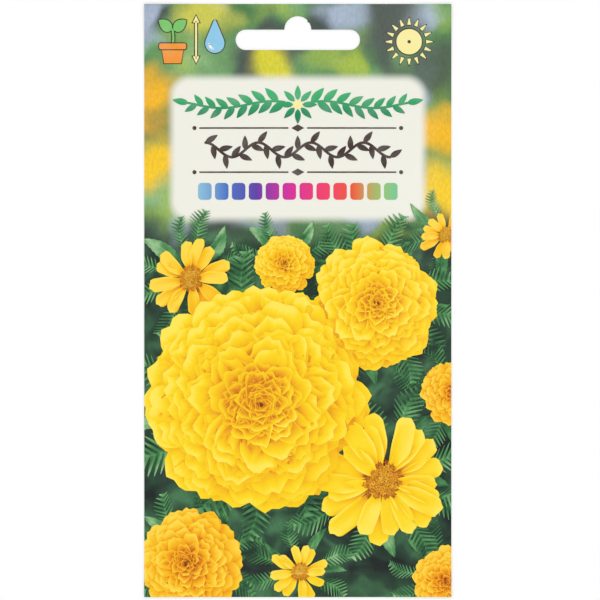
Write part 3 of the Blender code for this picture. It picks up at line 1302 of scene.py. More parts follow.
class PictureLight:
    """Works out how much light falls on each point of the posy before it is pressed flat."""

    KEY = Vector((-0.45, 0.55, 0.75))
    SKY = 30
    SKIN = 0.12 * MM
    THROUGH = 0.45

    def __init__(self, pieces: Iterable[Piece], reach: float) -> None:
        """Spread the sky's directions and gather every face that can cast shade.

        Args:
            pieces: All the posy's pieces.
            reach: How far off a face still casts shade.
        """
        self.reach = reach
        self.towards = []
        for i in range(self.SKY):
            z = 1 - (i + 0.5) / self.SKY * 0.96
            flat = math.sqrt(1 - z * z)
            direction = Vector((flat * math.cos(i * GOLDEN_ANGLE), flat * math.sin(i * GOLDEN_ANGLE), z))
            strength = 0.55 + 1.1 * max(0.0, direction.dot(self.KEY.normalized())) ** 3
            self.towards.append((direction, strength))
        vertices, faces = [], []
        for piece in pieces:
            first = len(vertices)
            vertices += [v.co.copy() for v in piece.data.vertices]
            faces += [[first + i for i in p.vertices] for p in piece.data.polygons]
        self.solid = BVHTree.FromPolygons(vertices, faces)

    def fall_on(self, piece: Piece) -> None:
        """Store the light on a piece's vertices as a share of what an open, level point gets.

        Args:
            piece: The piece.
        """
        full = sum(strength * direction.z for direction, strength in self.towards)
        levels = []
        for vertex, normal in zip(piece.data.vertices, piece.data.vertex_normals):
            up = normal.vector if normal.vector.z >= 0 else -normal.vector
            start = vertex.co + up * self.SKIN
            got = 0.0
            for direction, strength in self.towards:
                facing = direction.dot(up)
                worth = strength * (facing if facing > 0 else -self.THROUGH * facing)
                if worth > 0.03 and self.solid.ray_cast(start, direction, self.reach)[0] is None:
                    got += worth
            levels.append(got / full)
        stored(piece.data, "light", self.softened(piece.data, np.array(levels)))

    def softened(self, mesh: bpy.types.Mesh, values: np.ndarray, rounds: int = 2) -> np.ndarray:
        """Even the light out between neighbouring vertices.

        Args:
            mesh: The mesh.
            values: Light on each vertex.
            rounds: How often.

        Returns:
            The evened light.
        """
        ends = np.empty(len(mesh.edges) * 2, np.int32)
        mesh.edges.foreach_get("vertices", ends)
        a, b = ends.reshape(-1, 2).T
        size = len(values)
        met = np.maximum(np.bincount(a, minlength=size) + np.bincount(b, minlength=size), 1)
        for _ in range(rounds):
            around = np.bincount(a, values[b], size) + np.bincount(b, values[a], size)
            values = 0.5 * values + 0.5 * around / met
        return values

    def seen(self, point: Vector) -> bool:
        """Say whether nothing lies straight above a point."""
        return self.solid.ray_cast(point + Vector((0, 0, 0.05 * MM)), Vector((0, 0, 1)), 1.0)[0] is None

    def keep_what_shows(self, piece: Piece) -> None:
        """Drop the faces that others hide entirely, and mark the hidden corners of those that stay.

        Args:
            piece: The piece, changed in place.
        """
        bm = bmesh.new()
        bm.from_mesh(piece.data)
        hidden_mark = bm.verts.layers.float.new("hidden")
        shows = {v for v in bm.verts if self.seen(v.co)}
        for face in bm.faces:
            if not shows.intersection(face.verts) and self.seen(face.calc_center_median()):
                shows.update(face.verts)
        for v in bm.verts:
            v[hidden_mark] = float(v not in shows)
        near = shows | {edge.other_vert(v) for v in shows for edge in v.link_edges}
        hidden = [face for face in bm.faces if not near.intersection(face.verts)]
        bmesh.ops.delete(bm, geom=hidden, context="FACES")
        bm.to_mesh(piece.data)
        bm.free()


@dataclass
class Press:
    """Lays modelled or cut pieces flat on a printed face and trims them to the packet's edge."""

    shape: PacketShape
    side: Side = Side.FRONT
    inset: float = 0.02 * MM
    sink: float = 0.03 * MM

    def trim(self, bm: bmesh.types.BMesh) -> None:
        """Cut off what runs past the packet's edge.

        Args:
            bm: The piece's mesh, changed in place.
        """
        for axis, half in ((0, self.shape.half_width), (1, self.shape.half_height)):
            for sign in (1, -1):
                normal = Vector((0, 0, 0))
                normal[axis] = sign
                place = normal * (half - self.inset)
                everything = bm.verts[:] + bm.edges[:] + bm.faces[:]
                bmesh.ops.bisect_plane(bm, geom=everything, plane_co=place, plane_no=normal, clear_outer=True)

    def down(self, piece: Piece, lift: float, floor: float = 0.0, squeeze: float = 1.0) -> None:
        """Lay a piece on the face, with the face's own shading so that it reads as flat print.

        Corners that are marked as hidden sink a little, so that what covers them stays on top.

        Args:
            piece: The piece, its heights still as modelled.
            lift: The gap between the face and the piece's lowest level.
            floor: The modelled height of that lowest level.
            squeeze: The share of its modelled depth that the piece keeps.
        """
        bm = bmesh.new()
        bm.from_mesh(piece.data)
        self.trim(bm)
        bm.to_mesh(piece.data)
        bm.free()
        points = points_of(piece.data)
        x, y, height = points.T
        rise = lift + squeeze * (height - floor) - self.sink * kept(piece.data, "hidden")
        points[:, 2] = self.shape.face(self.side)(x, y) + self.side.value * rise
        set_points(piece.data, points)
        bm = bmesh.new()
        bm.from_mesh(piece.data)
        bm.normal_update()
        bmesh.ops.reverse_faces(bm, faces=[f for f in bm.faces if f.normal.z * self.side.value < 0])
        bm.to_mesh(piece.data)
        bm.free()
        piece.data.shade_smooth()
        piece.data.normals_split_custom_set_from_vertices(self.shape.outward(self.side, x, y).tolist())


@dataclass
class Posy:
    """The pictured flowers and leaves."""

    shape: PacketShape
    relief: float = 0.14 * MM
    lift: float = 0.06 * MM
    shade_reach: float = 18.0 * MM
    leaf_depth: float = -5.0
    blooms: tuple = (
        Bloom("bloom_large", BloomKind.DOUBLE, -10.5, -26.0, 29.0, 300, 0.00, 11.0, 6.0, 300.0, 3),
        Bloom("bloom_right", BloomKind.DOUBLE, 20.0, -1.0, 17.0, 170, 0.04, 7.0, 10.0, 20.0, 8),
        Bloom("bloom_open", BloomKind.SINGLE, 22.0, -47.0, 18.0, 21, 0.02, 9.0, 8.0, 330.0, 13),
        Bloom("bloom_left", BloomKind.SINGLE, -27.5, 5.5, 11.5, 13, 0.60, 4.0, 12.0, 150.0, 21),
        Bloom("bloom_foot", BloomKind.DOUBLE, -28.0, -68.0, 14.0, 120, 0.70, 3.0, 12.0, 200.0, 34),
        Bloom("bloom_top", BloomKind.DOUBLE, -3.5, 9.5, 8.0, 90, 0.30, 1.0, 10.0, 90.0, 55),
        Bloom("bloom_edge", BloomKind.DOUBLE, 40.0, -24.0, 8.5, 80, 0.80, 2.0, 12.0, 0.0, 89),
        Bloom("bloom_corner", BloomKind.SINGLE, 38.5, 17.0, 7.0, 13, 0.75, -1.0, 8.0, 45.0, 144),
        Bloom("bloom_small", BloomKind.SINGLE, 0.5, -70.5, 8.0, 13, 0.25, -1.0, 8.0, 270.0, 233),
        Bloom("bloom_dark", BloomKind.DOUBLE, 38.5, -73.0, 9.0, 90, 0.90, 2.0, 8.0, 270.0, 377),
    )

    def leaves(self, builder: PosyBuilder, bloom: Bloom) -> Piece:
        """Grow a bloom's leaves from under its rim, of much the same size for small and large blooms.

        Args:
            builder: Grows the leaves.
            bloom: The bloom above them.

        Returns:
            The leaves, as modelled.
        """
        longest = 0.42 + 6.5 / bloom.radius
        forms = (Form.LEAF, Form.FROND)
        count = round(7 + 0.45 * bloom.radius)
        whorl = Whorl(forms, 0.8, 0.0, (-6.0, 8.0), (1.2 * longest, longest), 0.0, count)
        lower = replace(bloom, depth=self.leaf_depth + 0.2 * bloom.depth, lean=0.0)
        return builder.whorl(lower, whorl, built(LeafInk()))

    def build(self) -> list[Piece]:
        """Grow the posy, light it, drop what is hidden and press the rest onto the front.

        Returns:
            One piece for each bloom, and one for all leaves.
        """
        builder = PosyBuilder()
        flowers: dict[str, list[Piece]] = {}
        leaves = []
        for bloom in self.blooms:
            ray_finish = BloomInk(f"{bloom.name} ink", warmth=bloom.warmth)
            flowers[bloom.name] = []
            for whorl in bloom.kind.value:
                finish = built(FloretInk() if Form.FLORET in whorl.forms else ray_finish)
                flowers[bloom.name].append(builder.whorl(bloom, whorl, finish))
            leaves.append(self.leaves(builder, bloom))
        everything = [piece for whorls in flowers.values() for piece in whorls] + leaves
        light = PictureLight(everything, self.shade_reach)
        for piece in everything:
            light.fall_on(piece)
        for piece in everything:
            light.keep_what_shows(piece)
        pieces = [joined(name, whorls) for name, whorls in flowers.items()] + [joined("leaf_sprays", leaves)]
        heights = np.concatenate([points_of(piece.data)[:, 2] for piece in pieces])
        press = Press(self.shape)
        squeeze = self.relief / (heights.max() - heights.min())
        for piece in pieces:
            press.down(piece, self.lift, heights.min(), squeeze)
        return pieces


@dataclass
class FlatArt:
    """Printed shapes of plain colours, collected in millimetres and pressed onto a face of the packet."""

    name: str
    press: Press
    lift: float = 0.035 * MM
    step: float = 0.008
    longest: float = 1.1
    base_level: int = 0
    pieces: list = field(default_factory=list)

    def add(self, outline: Outline, finish: PrintedFilm, level: int = 0) -> None:
        """Fill an outline with one finish. A higher level covers a lower one.

        Args:
            outline: The outline.
            finish: Its ink.
            level: Its place in the pile.
        """
        bm = bmesh.new()
        bm.faces.new([bm.verts.new((x, y, 0)) for x, y in outline])
        self.keep(bm, finish, level)

    def line(self, path: Outline, width: float, finish: PrintedFilm, level: int = 0) -> None:
        """Draw an open line of even width with round ends.

        Args:
            path: The points it runs through.
            width: Its width.
            finish: Its ink.
            level: Its place in the pile.
        """
        points = np.array(path)
        ahead = np.gradient(points, axis=0)
        left = np.stack([-ahead[:, 1], ahead[:, 0]], axis=-1)
        left *= width / 2 / np.linalg.norm(left, axis=1, keepdims=True)
        bm = bmesh.new()
        rails = [[bm.verts.new((x, y, 0)) for x, y in points + side * left] for side in (-1, 1)]
        for i in range(len(path) - 1):
            bm.faces.new((rails[0][i], rails[0][i + 1], rails[1][i + 1], rails[1][i]))
        for x, y in (path[0], path[-1]):
            bm.faces.new([bm.verts.new((*p, 0)) for p in circle(width / 2, 14, x, y)])
        self.keep(bm, finish, level)

    def keep(self, bm: bmesh.types.BMesh, finish: PrintedFilm, level: int) -> None:
        """Split faces that are too large to follow the packet, and collect them.

        Args:
            bm: The flat faces. They are freed.
            finish: Their ink.
            level: Their place in the pile.
        """
        bmesh.ops.triangulate(bm, faces=bm.faces)
        while long_edges := [edge for edge in bm.edges if edge.calc_length() > self.longest]:
            bmesh.ops.subdivide_edges(bm, edges=long_edges, cuts=1)
            bmesh.ops.triangulate(bm, faces=bm.faces)
        mesh = bpy.data.meshes.new(finish.name)
        bm.to_mesh(mesh)
        bm.free()
        self.take(in_scene(finish.name, mesh, built(finish)), level)

    def take(self, piece: Piece, level: int = 0) -> None:
        """Collect a flat piece, such as one that a rule has made."""
        piece.data.transform(Matrix.Translation((0, 0, (self.base_level + level) * self.step)))
        self.pieces.append(piece)

    def outlined(
        self, outline: Outline, fill: Ink, margin: float, level: int = 0, edge: Ink = Ink.OUTLINE
    ) -> None:
        """Fill an outline over a margin of a darker ink."""
        self.add(grown(outline, margin), edge.value, level)
        self.add(outline, fill.value, level + 1)

    def build(self) -> Piece:
        """Join what was collected and press it on.

        Returns:
            The finished piece.
        """
        art = joined(self.name, self.pieces)
        art.data.transform(Matrix.Scale(MM, 4))
        self.press.down(art, self.lift)
        return art


class Ornaments:
    """Repeats small flat shapes along a path by rule. All sizes are in millimetres."""

    def __init__(self) -> None:
        """Write the rule."""
        self.rule = RuleTree("ornament rule")
        bench = self.rule.bench
        path = self.rule.ask("Path", None, "NodeSocketObject")
        shape = self.rule.ask("Shape", None, "NodeSocketObject")
        count, lean = self.rule.ask("Count", 12), self.rule.ask("Lean", 0.0)
        sway = self.rule.ask("Sway", 1.0)
        start, end = self.rule.ask("First Size", 1.0), self.rule.ask("Last Size", 1.0)
        finish = self.rule.ask("Finish", None, "NodeSocketMaterial")
        line = bench.add("GeometryNodeObjectInfo", {"Object": path}).outputs["Geometry"]
        curve = bench.add("GeometryNodeMeshToCurve", {"Mesh": line}).outputs["Curve"]
        points = bench.add("GeometryNodeResampleCurve", {"Curve": curve, "Count": count}).outputs["Curve"]
        tangent = bench.add("GeometryNodeInputTangent").outputs["Tangent"]
        heading = bench.math("ARCTAN2", bench.part(tangent, "Y"), bench.part(tangent, "X"))
        index = bench.add("GeometryNodeInputIndex").outputs[0]
        other = bench.math("MULTIPLY", bench.math("MODULO", index, 2.0), sway)
        side = bench.math("MULTIPLY_ADD", other, -2.0, 1.0)
        turn = bench.join(z=bench.math("MULTIPLY_ADD", lean, side, heading))
        share = bench.math("DIVIDE", index, bench.math("SUBTRACT", count, 1.0))
        size = bench.math("MULTIPLY_ADD", share, bench.math("SUBTRACT", end, start), start)
        copy = bench.add("GeometryNodeObjectInfo", {"Object": shape}).outputs["Geometry"]
        feeds = {"Points": points, "Instance": copy, "Rotation": turn, "Scale": size}
        placed = bench.add("GeometryNodeInstanceOnPoints", feeds).outputs["Instances"]
        self.rule.close(placed, finish)
        self.leaf = self.leaf_shape()

    def leaf_shape(self, rows: int = 9, width: float = 0.38) -> Piece:
        """Cut a plain flat leaf of length 1.

        Args:
            rows: Rows of vertices along.
            width: Its greatest width.

        Returns:
            The shape.
        """
        along, across = np.broadcast_arrays(np.linspace(0, 1, rows)[:, None], np.linspace(-1, 1, 3)[None, :])
        half = width / 2 * np.sin(math.pi * along**0.8) ** 0.9 + 0.015
        points = np.stack([along, half * across, np.zeros_like(along)], axis=-1)
        return bpy.data.objects.new("plain leaf", grid_mesh("plain leaf", points, {}))

    def flat_shape(self, outline: Outline) -> Piece:
        """Make a shape to repeat from an outline.

        Args:
            outline: The outline, round the origin.

        Returns:
            The shape.
        """
        mesh = bpy.data.meshes.new("shape")
        mesh.from_pydata([(x, y, 0) for x, y in outline], [], [range(len(outline))])
        return bpy.data.objects.new("shape", mesh)

    def along(
        self,
        path: Outline,
        finish: PrintedFilm,
        count: int,
        shape: Piece | None = None,
        lean: float = 0.0,
        size: Point2 = (1.0, 1.0),
        ring: bool = False,
    ) -> Piece:
        """Repeat a shape along a path.

        Args:
            path: The path's points.
            finish: The print that the copies carry.
            count: How many copies.
            shape: What is repeated. The plain leaf unless given.
            lean: The copies' turn from the path's direction in degrees, to one side and the other by turns.
            size: The first and the last copy's scale.
            ring: Whether the path's end meets its start. All copies then lean the same way.

        Returns:
            The flat copies as one object.
        """
        links = [(i, i + 1) for i in range(len(path) - 1)] + ([(len(path) - 1, 0)] if ring else [])
        mesh = bpy.data.meshes.new("path")
        mesh.from_pydata([(x, y, 0) for x, y in path], links, [])
        return self.rule.run(
            "ornament",
            Path=bpy.data.objects.new("path", mesh),
            Shape=shape or self.leaf,
            Count=count,
            Lean=math.radians(lean),
            Sway=0.0 if ring else 1.0,
            First_Size=size[0],
            Last_Size=size[1],
            Finish=built(finish),
        )


@dataclass
class NamePanel:
    """The pale panel's ornaments: a garland, a vine between two rules, and month marks."""

    art: FlatArt
    ornaments: Ornaments
    garland_y: float = 51.0
    garland_reach: float = 28.5
    vine_y: float = 39.2
    vine_reach: float = 24.0
    rules_reach: float = 25.5
    rules_y: Point2 = (44.9, 33.4)
    months_y: float = 28.4
    months: int = 12
    month_pitch: float = 4.4

    def build(self) -> Piece:
        """Draw the panel's ornaments.

        Returns:
            The finished piece.
        """
        self.garland()
        self.vine()
        self.month_marks()
        return self.art.build()

    def garland(self) -> None:
        """Draw two leafy branches that run outwards from a small flower."""
        green = Ink.EMERALD.value
        for side in (1, -1):
            xs = np.linspace(3.5, self.garland_reach, 24)
            path = [(side * x, self.garland_y + 0.9 * math.sin(x / 4.2)) for x in xs]
            self.art.line(path, 0.6, green)
            self.art.take(self.ornaments.along(path[:-2], green, 15, lean=42.0, size=(4.9, 3.6)), 1)
            self.art.take(self.ornaments.along(path[-2:], green, 2, size=(0.01, 4.2)), 1)
        ring = circle(1.2, 8, y=self.garland_y)
        self.art.take(self.ornaments.along(ring, green, 8, lean=-90.0, size=(3.8, 3.8), ring=True), 2)
        self.art.add(circle(1.25, 20, y=self.garland_y), Ink.BUTTER.value, 3)

    def vine(self) -> None:
        """Draw a dark wavy vine with leaves by turns, between two thin rules with a lozenge each."""
        brown = Ink.BROWN.value
        wave = 2 * math.pi * 3.5 / (2 * self.vine_reach)
        xs = np.linspace(-self.vine_reach, self.vine_reach, 90)
        path = [(x, self.vine_y + 1.9 * math.sin(wave * x)) for x in xs]
        self.art.line(path, 0.7, brown)
        self.art.take(self.ornaments.along(path, brown, 29, lean=52.0, size=(3.7, 3.7)), 1)
        for y in self.rules_y:
            for side in (1, -1):
                self.art.line([(side * x, y) for x in np.linspace(2.6, self.rules_reach, 12)], 0.4, brown)
                self.art.add(circle(0.55, 12, side * (self.rules_reach + 1.4), y), brown)
            self.art.add([(1.7, y), (0, y + 0.95), (-1.7, y), (0, y - 0.95)], brown)

    def month_marks(self) -> None:
        """Draw one rounded mark for each month in a straight row."""
        reach = self.month_pitch * (self.months - 1) / 2
        mark = self.ornaments.flat_shape(rounded_box(3.5, 4.4, 0.9))
        path = [(-reach, self.months_y), (reach, self.months_y)]
        self.art.take(self.ornaments.along(path, SeasonInk(), self.months, mark))


@dataclass
class CornerSymbols:
    """The small outlined symbols in the header: a potted sprout, a water drop and a sun."""

    art: FlatArt
    ornaments: Ornaments
    edge: float = 0.28
    pot_at: Point2 = (-32.6, 66.0)
    drop_at: Point2 = (-21.6, 68.6)
    sun_at: Point2 = (29.0, 67.4)

    def build(self) -> Piece:
        """Draw the symbols.

        Returns:
            The finished piece.
        """
        self.pot()
        self.arrow(self.pot_at[0] + 6.1, self.pot_at[1] - 4.2, self.pot_at[1] + 8.2)
        self.drop()
        self.sun()
        return self.art.build()

    def arrow(self, x: float, low: float, high: float) -> None:
        """Draw an upright arrow with a head at both ends, outlined as one.

        Args:
            x: Its place across.
            low: Its lower tip.
            high: Its upper tip.
        """
        heads = []
        for tip, way in ((high, 1), (low, -1)):
            base = tip - way * 1.8
            heads.append([(x - way * 0.85, base), (x + way * 0.85, base), (x, tip)])
        shaft = [(x, low + 1.4), (x, (low + high) / 2), (x, high - 1.4)]
        layers = ((0, 0.5 + 2 * self.edge, self.edge, Ink.OUTLINE), (1, 0.5, 0.0, Ink.BUTTER))
        for level, width, grow, fill in layers:
            self.art.line(shaft, width, fill.value, level)
            for head in heads:
                self.art.add(grown(head, 1.6 * grow), fill.value, level)

    def pot(self) -> None:
        """Draw a clay pot with a two-leaved sprout."""
        x, y = self.pot_at
        stem = [(x, y), (x + 0.2, y + 2.5), (x, y + 4.6)]
        self.art.line(stem, 0.55 + 2 * self.edge, Ink.OUTLINE.value)
        self.art.line(stem, 0.55, Ink.SPROUT.value, 1)
        shares = np.linspace(0, 1, 9)
        blade = np.stack([0.2 + 3.4 * shares, 4.4 + 2.6 * shares], axis=-1)
        swell = np.sin(math.pi * np.clip(shares, 0.0, 1.0) ** 0.8)[:, None] ** 0.8
        width = 1.5 * swell * np.array([[-0.5, 0.8]])
        walk = np.concatenate([(blade - width)[:-1], (blade + width)[:0:-1]])
        for side in (1, -1):
            outline = [(x + side * px, y + py) for px, py in walk[::side]]
            self.art.outlined(outline, Ink.SPROUT, self.edge)
        body = [(x - 2.2, y - 4.2), (x + 2.2, y - 4.2), (x + 2.9, y), (x - 2.9, y)]
        self.art.outlined(body, Ink.TERRACOTTA, self.edge, 2)
        self.art.outlined(rounded_box(7.0, 1.5, 0.4, x, y + 0.2), Ink.TERRACOTTA, self.edge, 4)

    def drop(self) -> None:
        """Draw a water drop."""
        x, y = self.drop_at
        body = arc(x, y - 1.6, 2.5, 160, 380, 20) + [(x + 0.25, y + 4.4), (x - 0.25, y + 4.4)]
        self.art.outlined(body, Ink.SKY, self.edge)
        self.art.line(arc(x, y - 1.6, 1.5, 190, 250, 8), 0.5, Ink.WHITE.value, 2)

    def sun(self) -> None:
        """Draw a round sun with a dot at its centre and a ring of short rays."""
        x, y = self.sun_at
        self.art.outlined(circle(3.3, 36, x, y), Ink.BUTTER, self.edge)
        self.art.add(circle(0.45, 14, x, y), Ink.OUTLINE.value, 2)
        ray = self.ornaments.flat_shape([(-0.4, -0.28), (0.6, -0.06), (0.6, 0.06), (-0.4, 0.28)])
        for fill, size, level in ((Ink.OUTLINE, 2.3, 0), (Ink.BUTTER, 1.7, 1)):
            ring = circle(5.1, 48, x, y)
            rays = self.ornaments.along(ring, fill.value, 16, ray, -90.0, (size, size), ring=True)
            self.art.take(rays, level)


@dataclass
class BackArt:
    """The back's plain print: a vine in its band, a sowing chart, symbols, ruled lines and a blank box."""

    art: FlatArt
    ornaments: Ornaments
    margin: float = 33.0
    vine_y: float = 62.6
    chart_y: float = 46.0
    cell: Point2 = (4.9, 4.4)
    months: int = 12
    symbols_y: float = 21.0
    lines_y: float = 6.5
    line_pitch: float = 5.4
    line_count: int = 9
    box: tuple = (44.0, 18.0, -57.5)

    def build(self) -> Piece:
        """Draw the back's print.

        Returns:
            The finished piece.
        """
        xs = np.linspace(-self.margin, self.margin, 120)
        path = [(x, self.vine_y + 0.7 * math.sin(x / 2.6)) for x in xs]
        self.art.line(path, 0.35, Ink.BUTTER.value)
        self.art.take(self.ornaments.along(path, Ink.BUTTER.value, 38, lean=50.0, size=(2.2, 2.2)), 1)
        self.chart()
        self.symbols()
        self.lines()
        width, height, y = self.box
        self.art.outlined(rounded_box(width, height, 1.2, y=y), Ink.WHITE, 0.25, edge=Ink.PINE)
        return self.art.build()

    def chart(self) -> None:
        """Draw three rows of month squares, those for sowing, growing and flowering in their own inks."""
        width, height = self.cell
        square = self.ornaments.flat_shape(rounded_box(0.86 * width, 0.82 * height, 0.5))
        first = -width * (self.months - 1) / 2
        seasons = ((Ink.TERRACOTTA, 3, 5), (Ink.SPROUT, 5, 8), (Ink.BUTTER, 7, 11))
        for row, (fill, start, end) in enumerate(seasons):
            y = self.chart_y - row * 1.25 * height
            row_path = [(first, y), (-first, y)]
            self.art.take(self.ornaments.along(row_path, Ink.WHITE.value, self.months, square))
            part = [(first + start * width, y), (first + (end - 1) * width, y)]
            self.art.take(self.ornaments.along(part, fill.value, end - start, square), 1)

    def symbols(self) -> None:
        """Draw a sprout, water and the sun in three rings."""
        y = self.symbols_y
        for x in (-22.0, 0.0, 22.0):
            self.art.outlined(circle(7.6, 48, x, y), Ink.WHITE, 0.4, edge=Ink.PINE)
        symbols = CornerSymbols(self.art, self.ornaments, 0.2, (-22.0, y - 1.4), (0.0, y - 0.2), (22.0, y))
        self.art.base_level = 2
        symbols.pot()
        symbols.drop()
        symbols.sun()
        self.art.base_level = 0

    def lines(self) -> None:
        """Draw ruled lines to write on, every fourth one short."""
        for i in range(self.line_count):
            reach = self.margin if i % 4 != 3 else 0.1 * self.margin
            y = self.lines_y - self.line_pitch * i
            self.art.line([(x, y) for x in np.linspace(-self.margin, reach, 30)], 0.22, Ink.BROWN.value)


@dataclass
class HangingSlot:
    """The euro slot that is punched through both sheets."""

    top: float
    length: float = 32.4 * MM
    width: float = 5.3 * MM
    seat: float = 3.5 * MM
    nick_angle: float = 38.0
    nick: float = 0.35 * MM
    nick_half: float = 7.0

    def outline(self) -> Outline:
        """Walk round the slot: two round ends and the hook's seat above the middle, with a ragged nick.

        Returns:
            The outline, anticlockwise.
        """
        radius = self.width / 2
        reach = self.length / 2 - radius
        points = arc(reach, self.top - radius, radius, -90, 90, 16)
        for degrees in np.linspace(0, 180, 37):
            bite = self.nick * max(0.0, 1 - abs(degrees - self.nick_angle) / self.nick_half)
            angle, seat = math.radians(degrees), self.seat - bite
            points.append((seat * math.cos(angle), self.top + seat * math.sin(angle)))
        return points + arc(-reach, self.top - radius, radius, 90, 270, 16)


@dataclass
class PaperSheets:
    """The two sheets of laminated paper, with their cut edges and the slot through both."""

    shape: PacketShape
    slot: HangingSlot
    cell: float = 0.8 * MM

    def slab(self, name: str, cell: float) -> Piece:
        """Make a flat gridded sheet of paper with its slot punched out.

        Args:
            name: The sheet's name.
            cell: The grid's pitch.

        Returns:
            The sheet, flat on z = 0.
        """
        half_width, half_height = self.shape.half_width, self.shape.half_height
        bm = bmesh.new()
        cells = (round(2 * half_width / cell), round(2 * half_height / cell))
        bmesh.ops.create_grid(bm, x_segments=cells[0], y_segments=cells[1], size=1.0)
        bmesh.ops.scale(bm, verts=bm.verts, vec=(half_width, half_height, 1.0))
        creases = [(sign * self.shape.pouch_half, 0) for sign in (1, -1)]
        creases += [(y, 1) for y in self.shape.pouch_ends]
        for at, axis in creases:
            normal = Vector((1 - axis, axis, 0))
            everything = bm.verts[:] + bm.edges[:] + bm.faces[:]
            bmesh.ops.bisect_plane(bm, geom=everything, plane_co=normal * at, plane_no=normal)
        sheet = self.thickened(name, bm, self.shape.sheet)
        self.punch(sheet)
        return sheet

    def thickened(self, name: str, bm: bmesh.types.BMesh, depth: float) -> Piece:
        """Raise a flat face or sheet into a closed solid.

        Args:
            name: The solid's name.
            bm: The faces. They are freed.
            depth: How far they are raised.

        Returns:
            The solid.
        """
        raised = bmesh.ops.extrude_face_region(bm, geom=bm.faces[:])["geom"]
        top = [v for v in raised if isinstance(v, bmesh.types.BMVert)]
        bmesh.ops.translate(bm, verts=top, vec=(0, 0, depth))
        bmesh.ops.recalc_face_normals(bm, faces=bm.faces)
        mesh = bpy.data.meshes.new(name)
        bm.to_mesh(mesh)
        bm.free()
        return in_scene(name, mesh)

    def punch(self, sheet: Piece) -> None:
        """Cut the slot through a flat sheet.

        Args:
            sheet: The sheet, changed in place.
        """
        reach = 5 * self.shape.sheet
        bm = bmesh.new()
        bm.faces.new([bm.verts.new((x, y, -reach)) for x, y in self.slot.outline()])
        punch = self.thickened("punch", bm, 2 * reach)
        cut = sheet.modifiers.new("slot", "BOOLEAN")
        cut.operation = "DIFFERENCE"
        cut.solver = "EXACT"
        cut.object = punch
        graph = bpy.context.evaluated_depsgraph_get()
        mesh = bpy.data.meshes.new_from_object(sheet.evaluated_get(graph), depsgraph=graph)
        sheet.modifiers.clear()
        sheet.data = mesh
        bpy.data.objects.remove(punch, do_unlink=True)

    def dress(self, sheet: Piece, printed: PrintedFilm, side: Side) -> None:
        """Give the outer face its print, and the cut edges and inner face bare paper.

        Args:
            sheet: The flat sheet.
            printed: The finish of its outer face.
            side: Which way that face looks.
        """
        mesh = sheet.data
        mesh.materials.clear()
        mesh.materials.append(built(printed))
        mesh.materials.append(built(BARE_PAPER))
        outer = [face.normal.z * side.value > 0.9 for face in mesh.polygons]
        mesh.polygons.foreach_set("material_index", [0 if shows else 1 for shows in outer])
        self.lay_out(mesh, outer)
        mesh.shade_smooth()
        mesh.set_sharp_from_angle(angle=math.radians(40))

    def lay_out(self, mesh: bpy.types.Mesh, outer: Sequence[bool], foot: float = 0.06) -> None:
        """Map the sheet flat: the print over nearly the whole square, bare paper in a strip at its foot.

        Args:
            mesh: The flat sheet's mesh.
            outer: Whether each face is printed.
            foot: The strip's share of the square.
        """
        layer = mesh.uv_layers.new(name="OFBake")
        points = points_of(mesh)
        across = points[:, 0] / self.shape.half_width / 2 + 0.5
        along = points[:, 1] / self.shape.half_height / 2 + 0.5
        deep = points[:, 2] / self.shape.sheet
        for face, shows in zip(mesh.polygons, outer):
            for loop in face.loop_indices:
                i = mesh.loops[loop].vertex_index
                level = foot + (1 - foot) * along[i] if shows else foot * (0.05 + 0.8 * across[i])
                place = across[i] if shows else along[i] if abs(face.normal.z) > 0.5 else 0.5 + 0.01 * deep[i]
                layer.data[loop].uv = (place, level)

    def front(self, printed: PrintedFilm) -> Piece:
        """Make the pillowed front sheet.

        Args:
            printed: The print's finish.

        Returns:
            The finished piece.
        """
        sheet = self.slab("printed_front", self.cell)
        self.dress(sheet, printed, Side.FRONT)
        points = points_of(sheet.data)
        points[:, 2] += self.shape.front(points[:, 0], points[:, 1]) - self.shape.sheet
        set_points(sheet.data, points)
        return sheet

    def back(self, printed: PrintedFilm) -> Piece:
        """Make the flat back sheet.

        Args:
            printed: The print's finish.

        Returns:
            The finished piece.
        """
        sheet = self.slab("printed_back", 3 * self.cell)
        self.dress(sheet, printed, Side.BACK)
        points = points_of(sheet.data)
        points[:, 2] += self.shape.back(points[:, 0], points[:, 1])
        set_points(sheet.data, points)
        return sheet


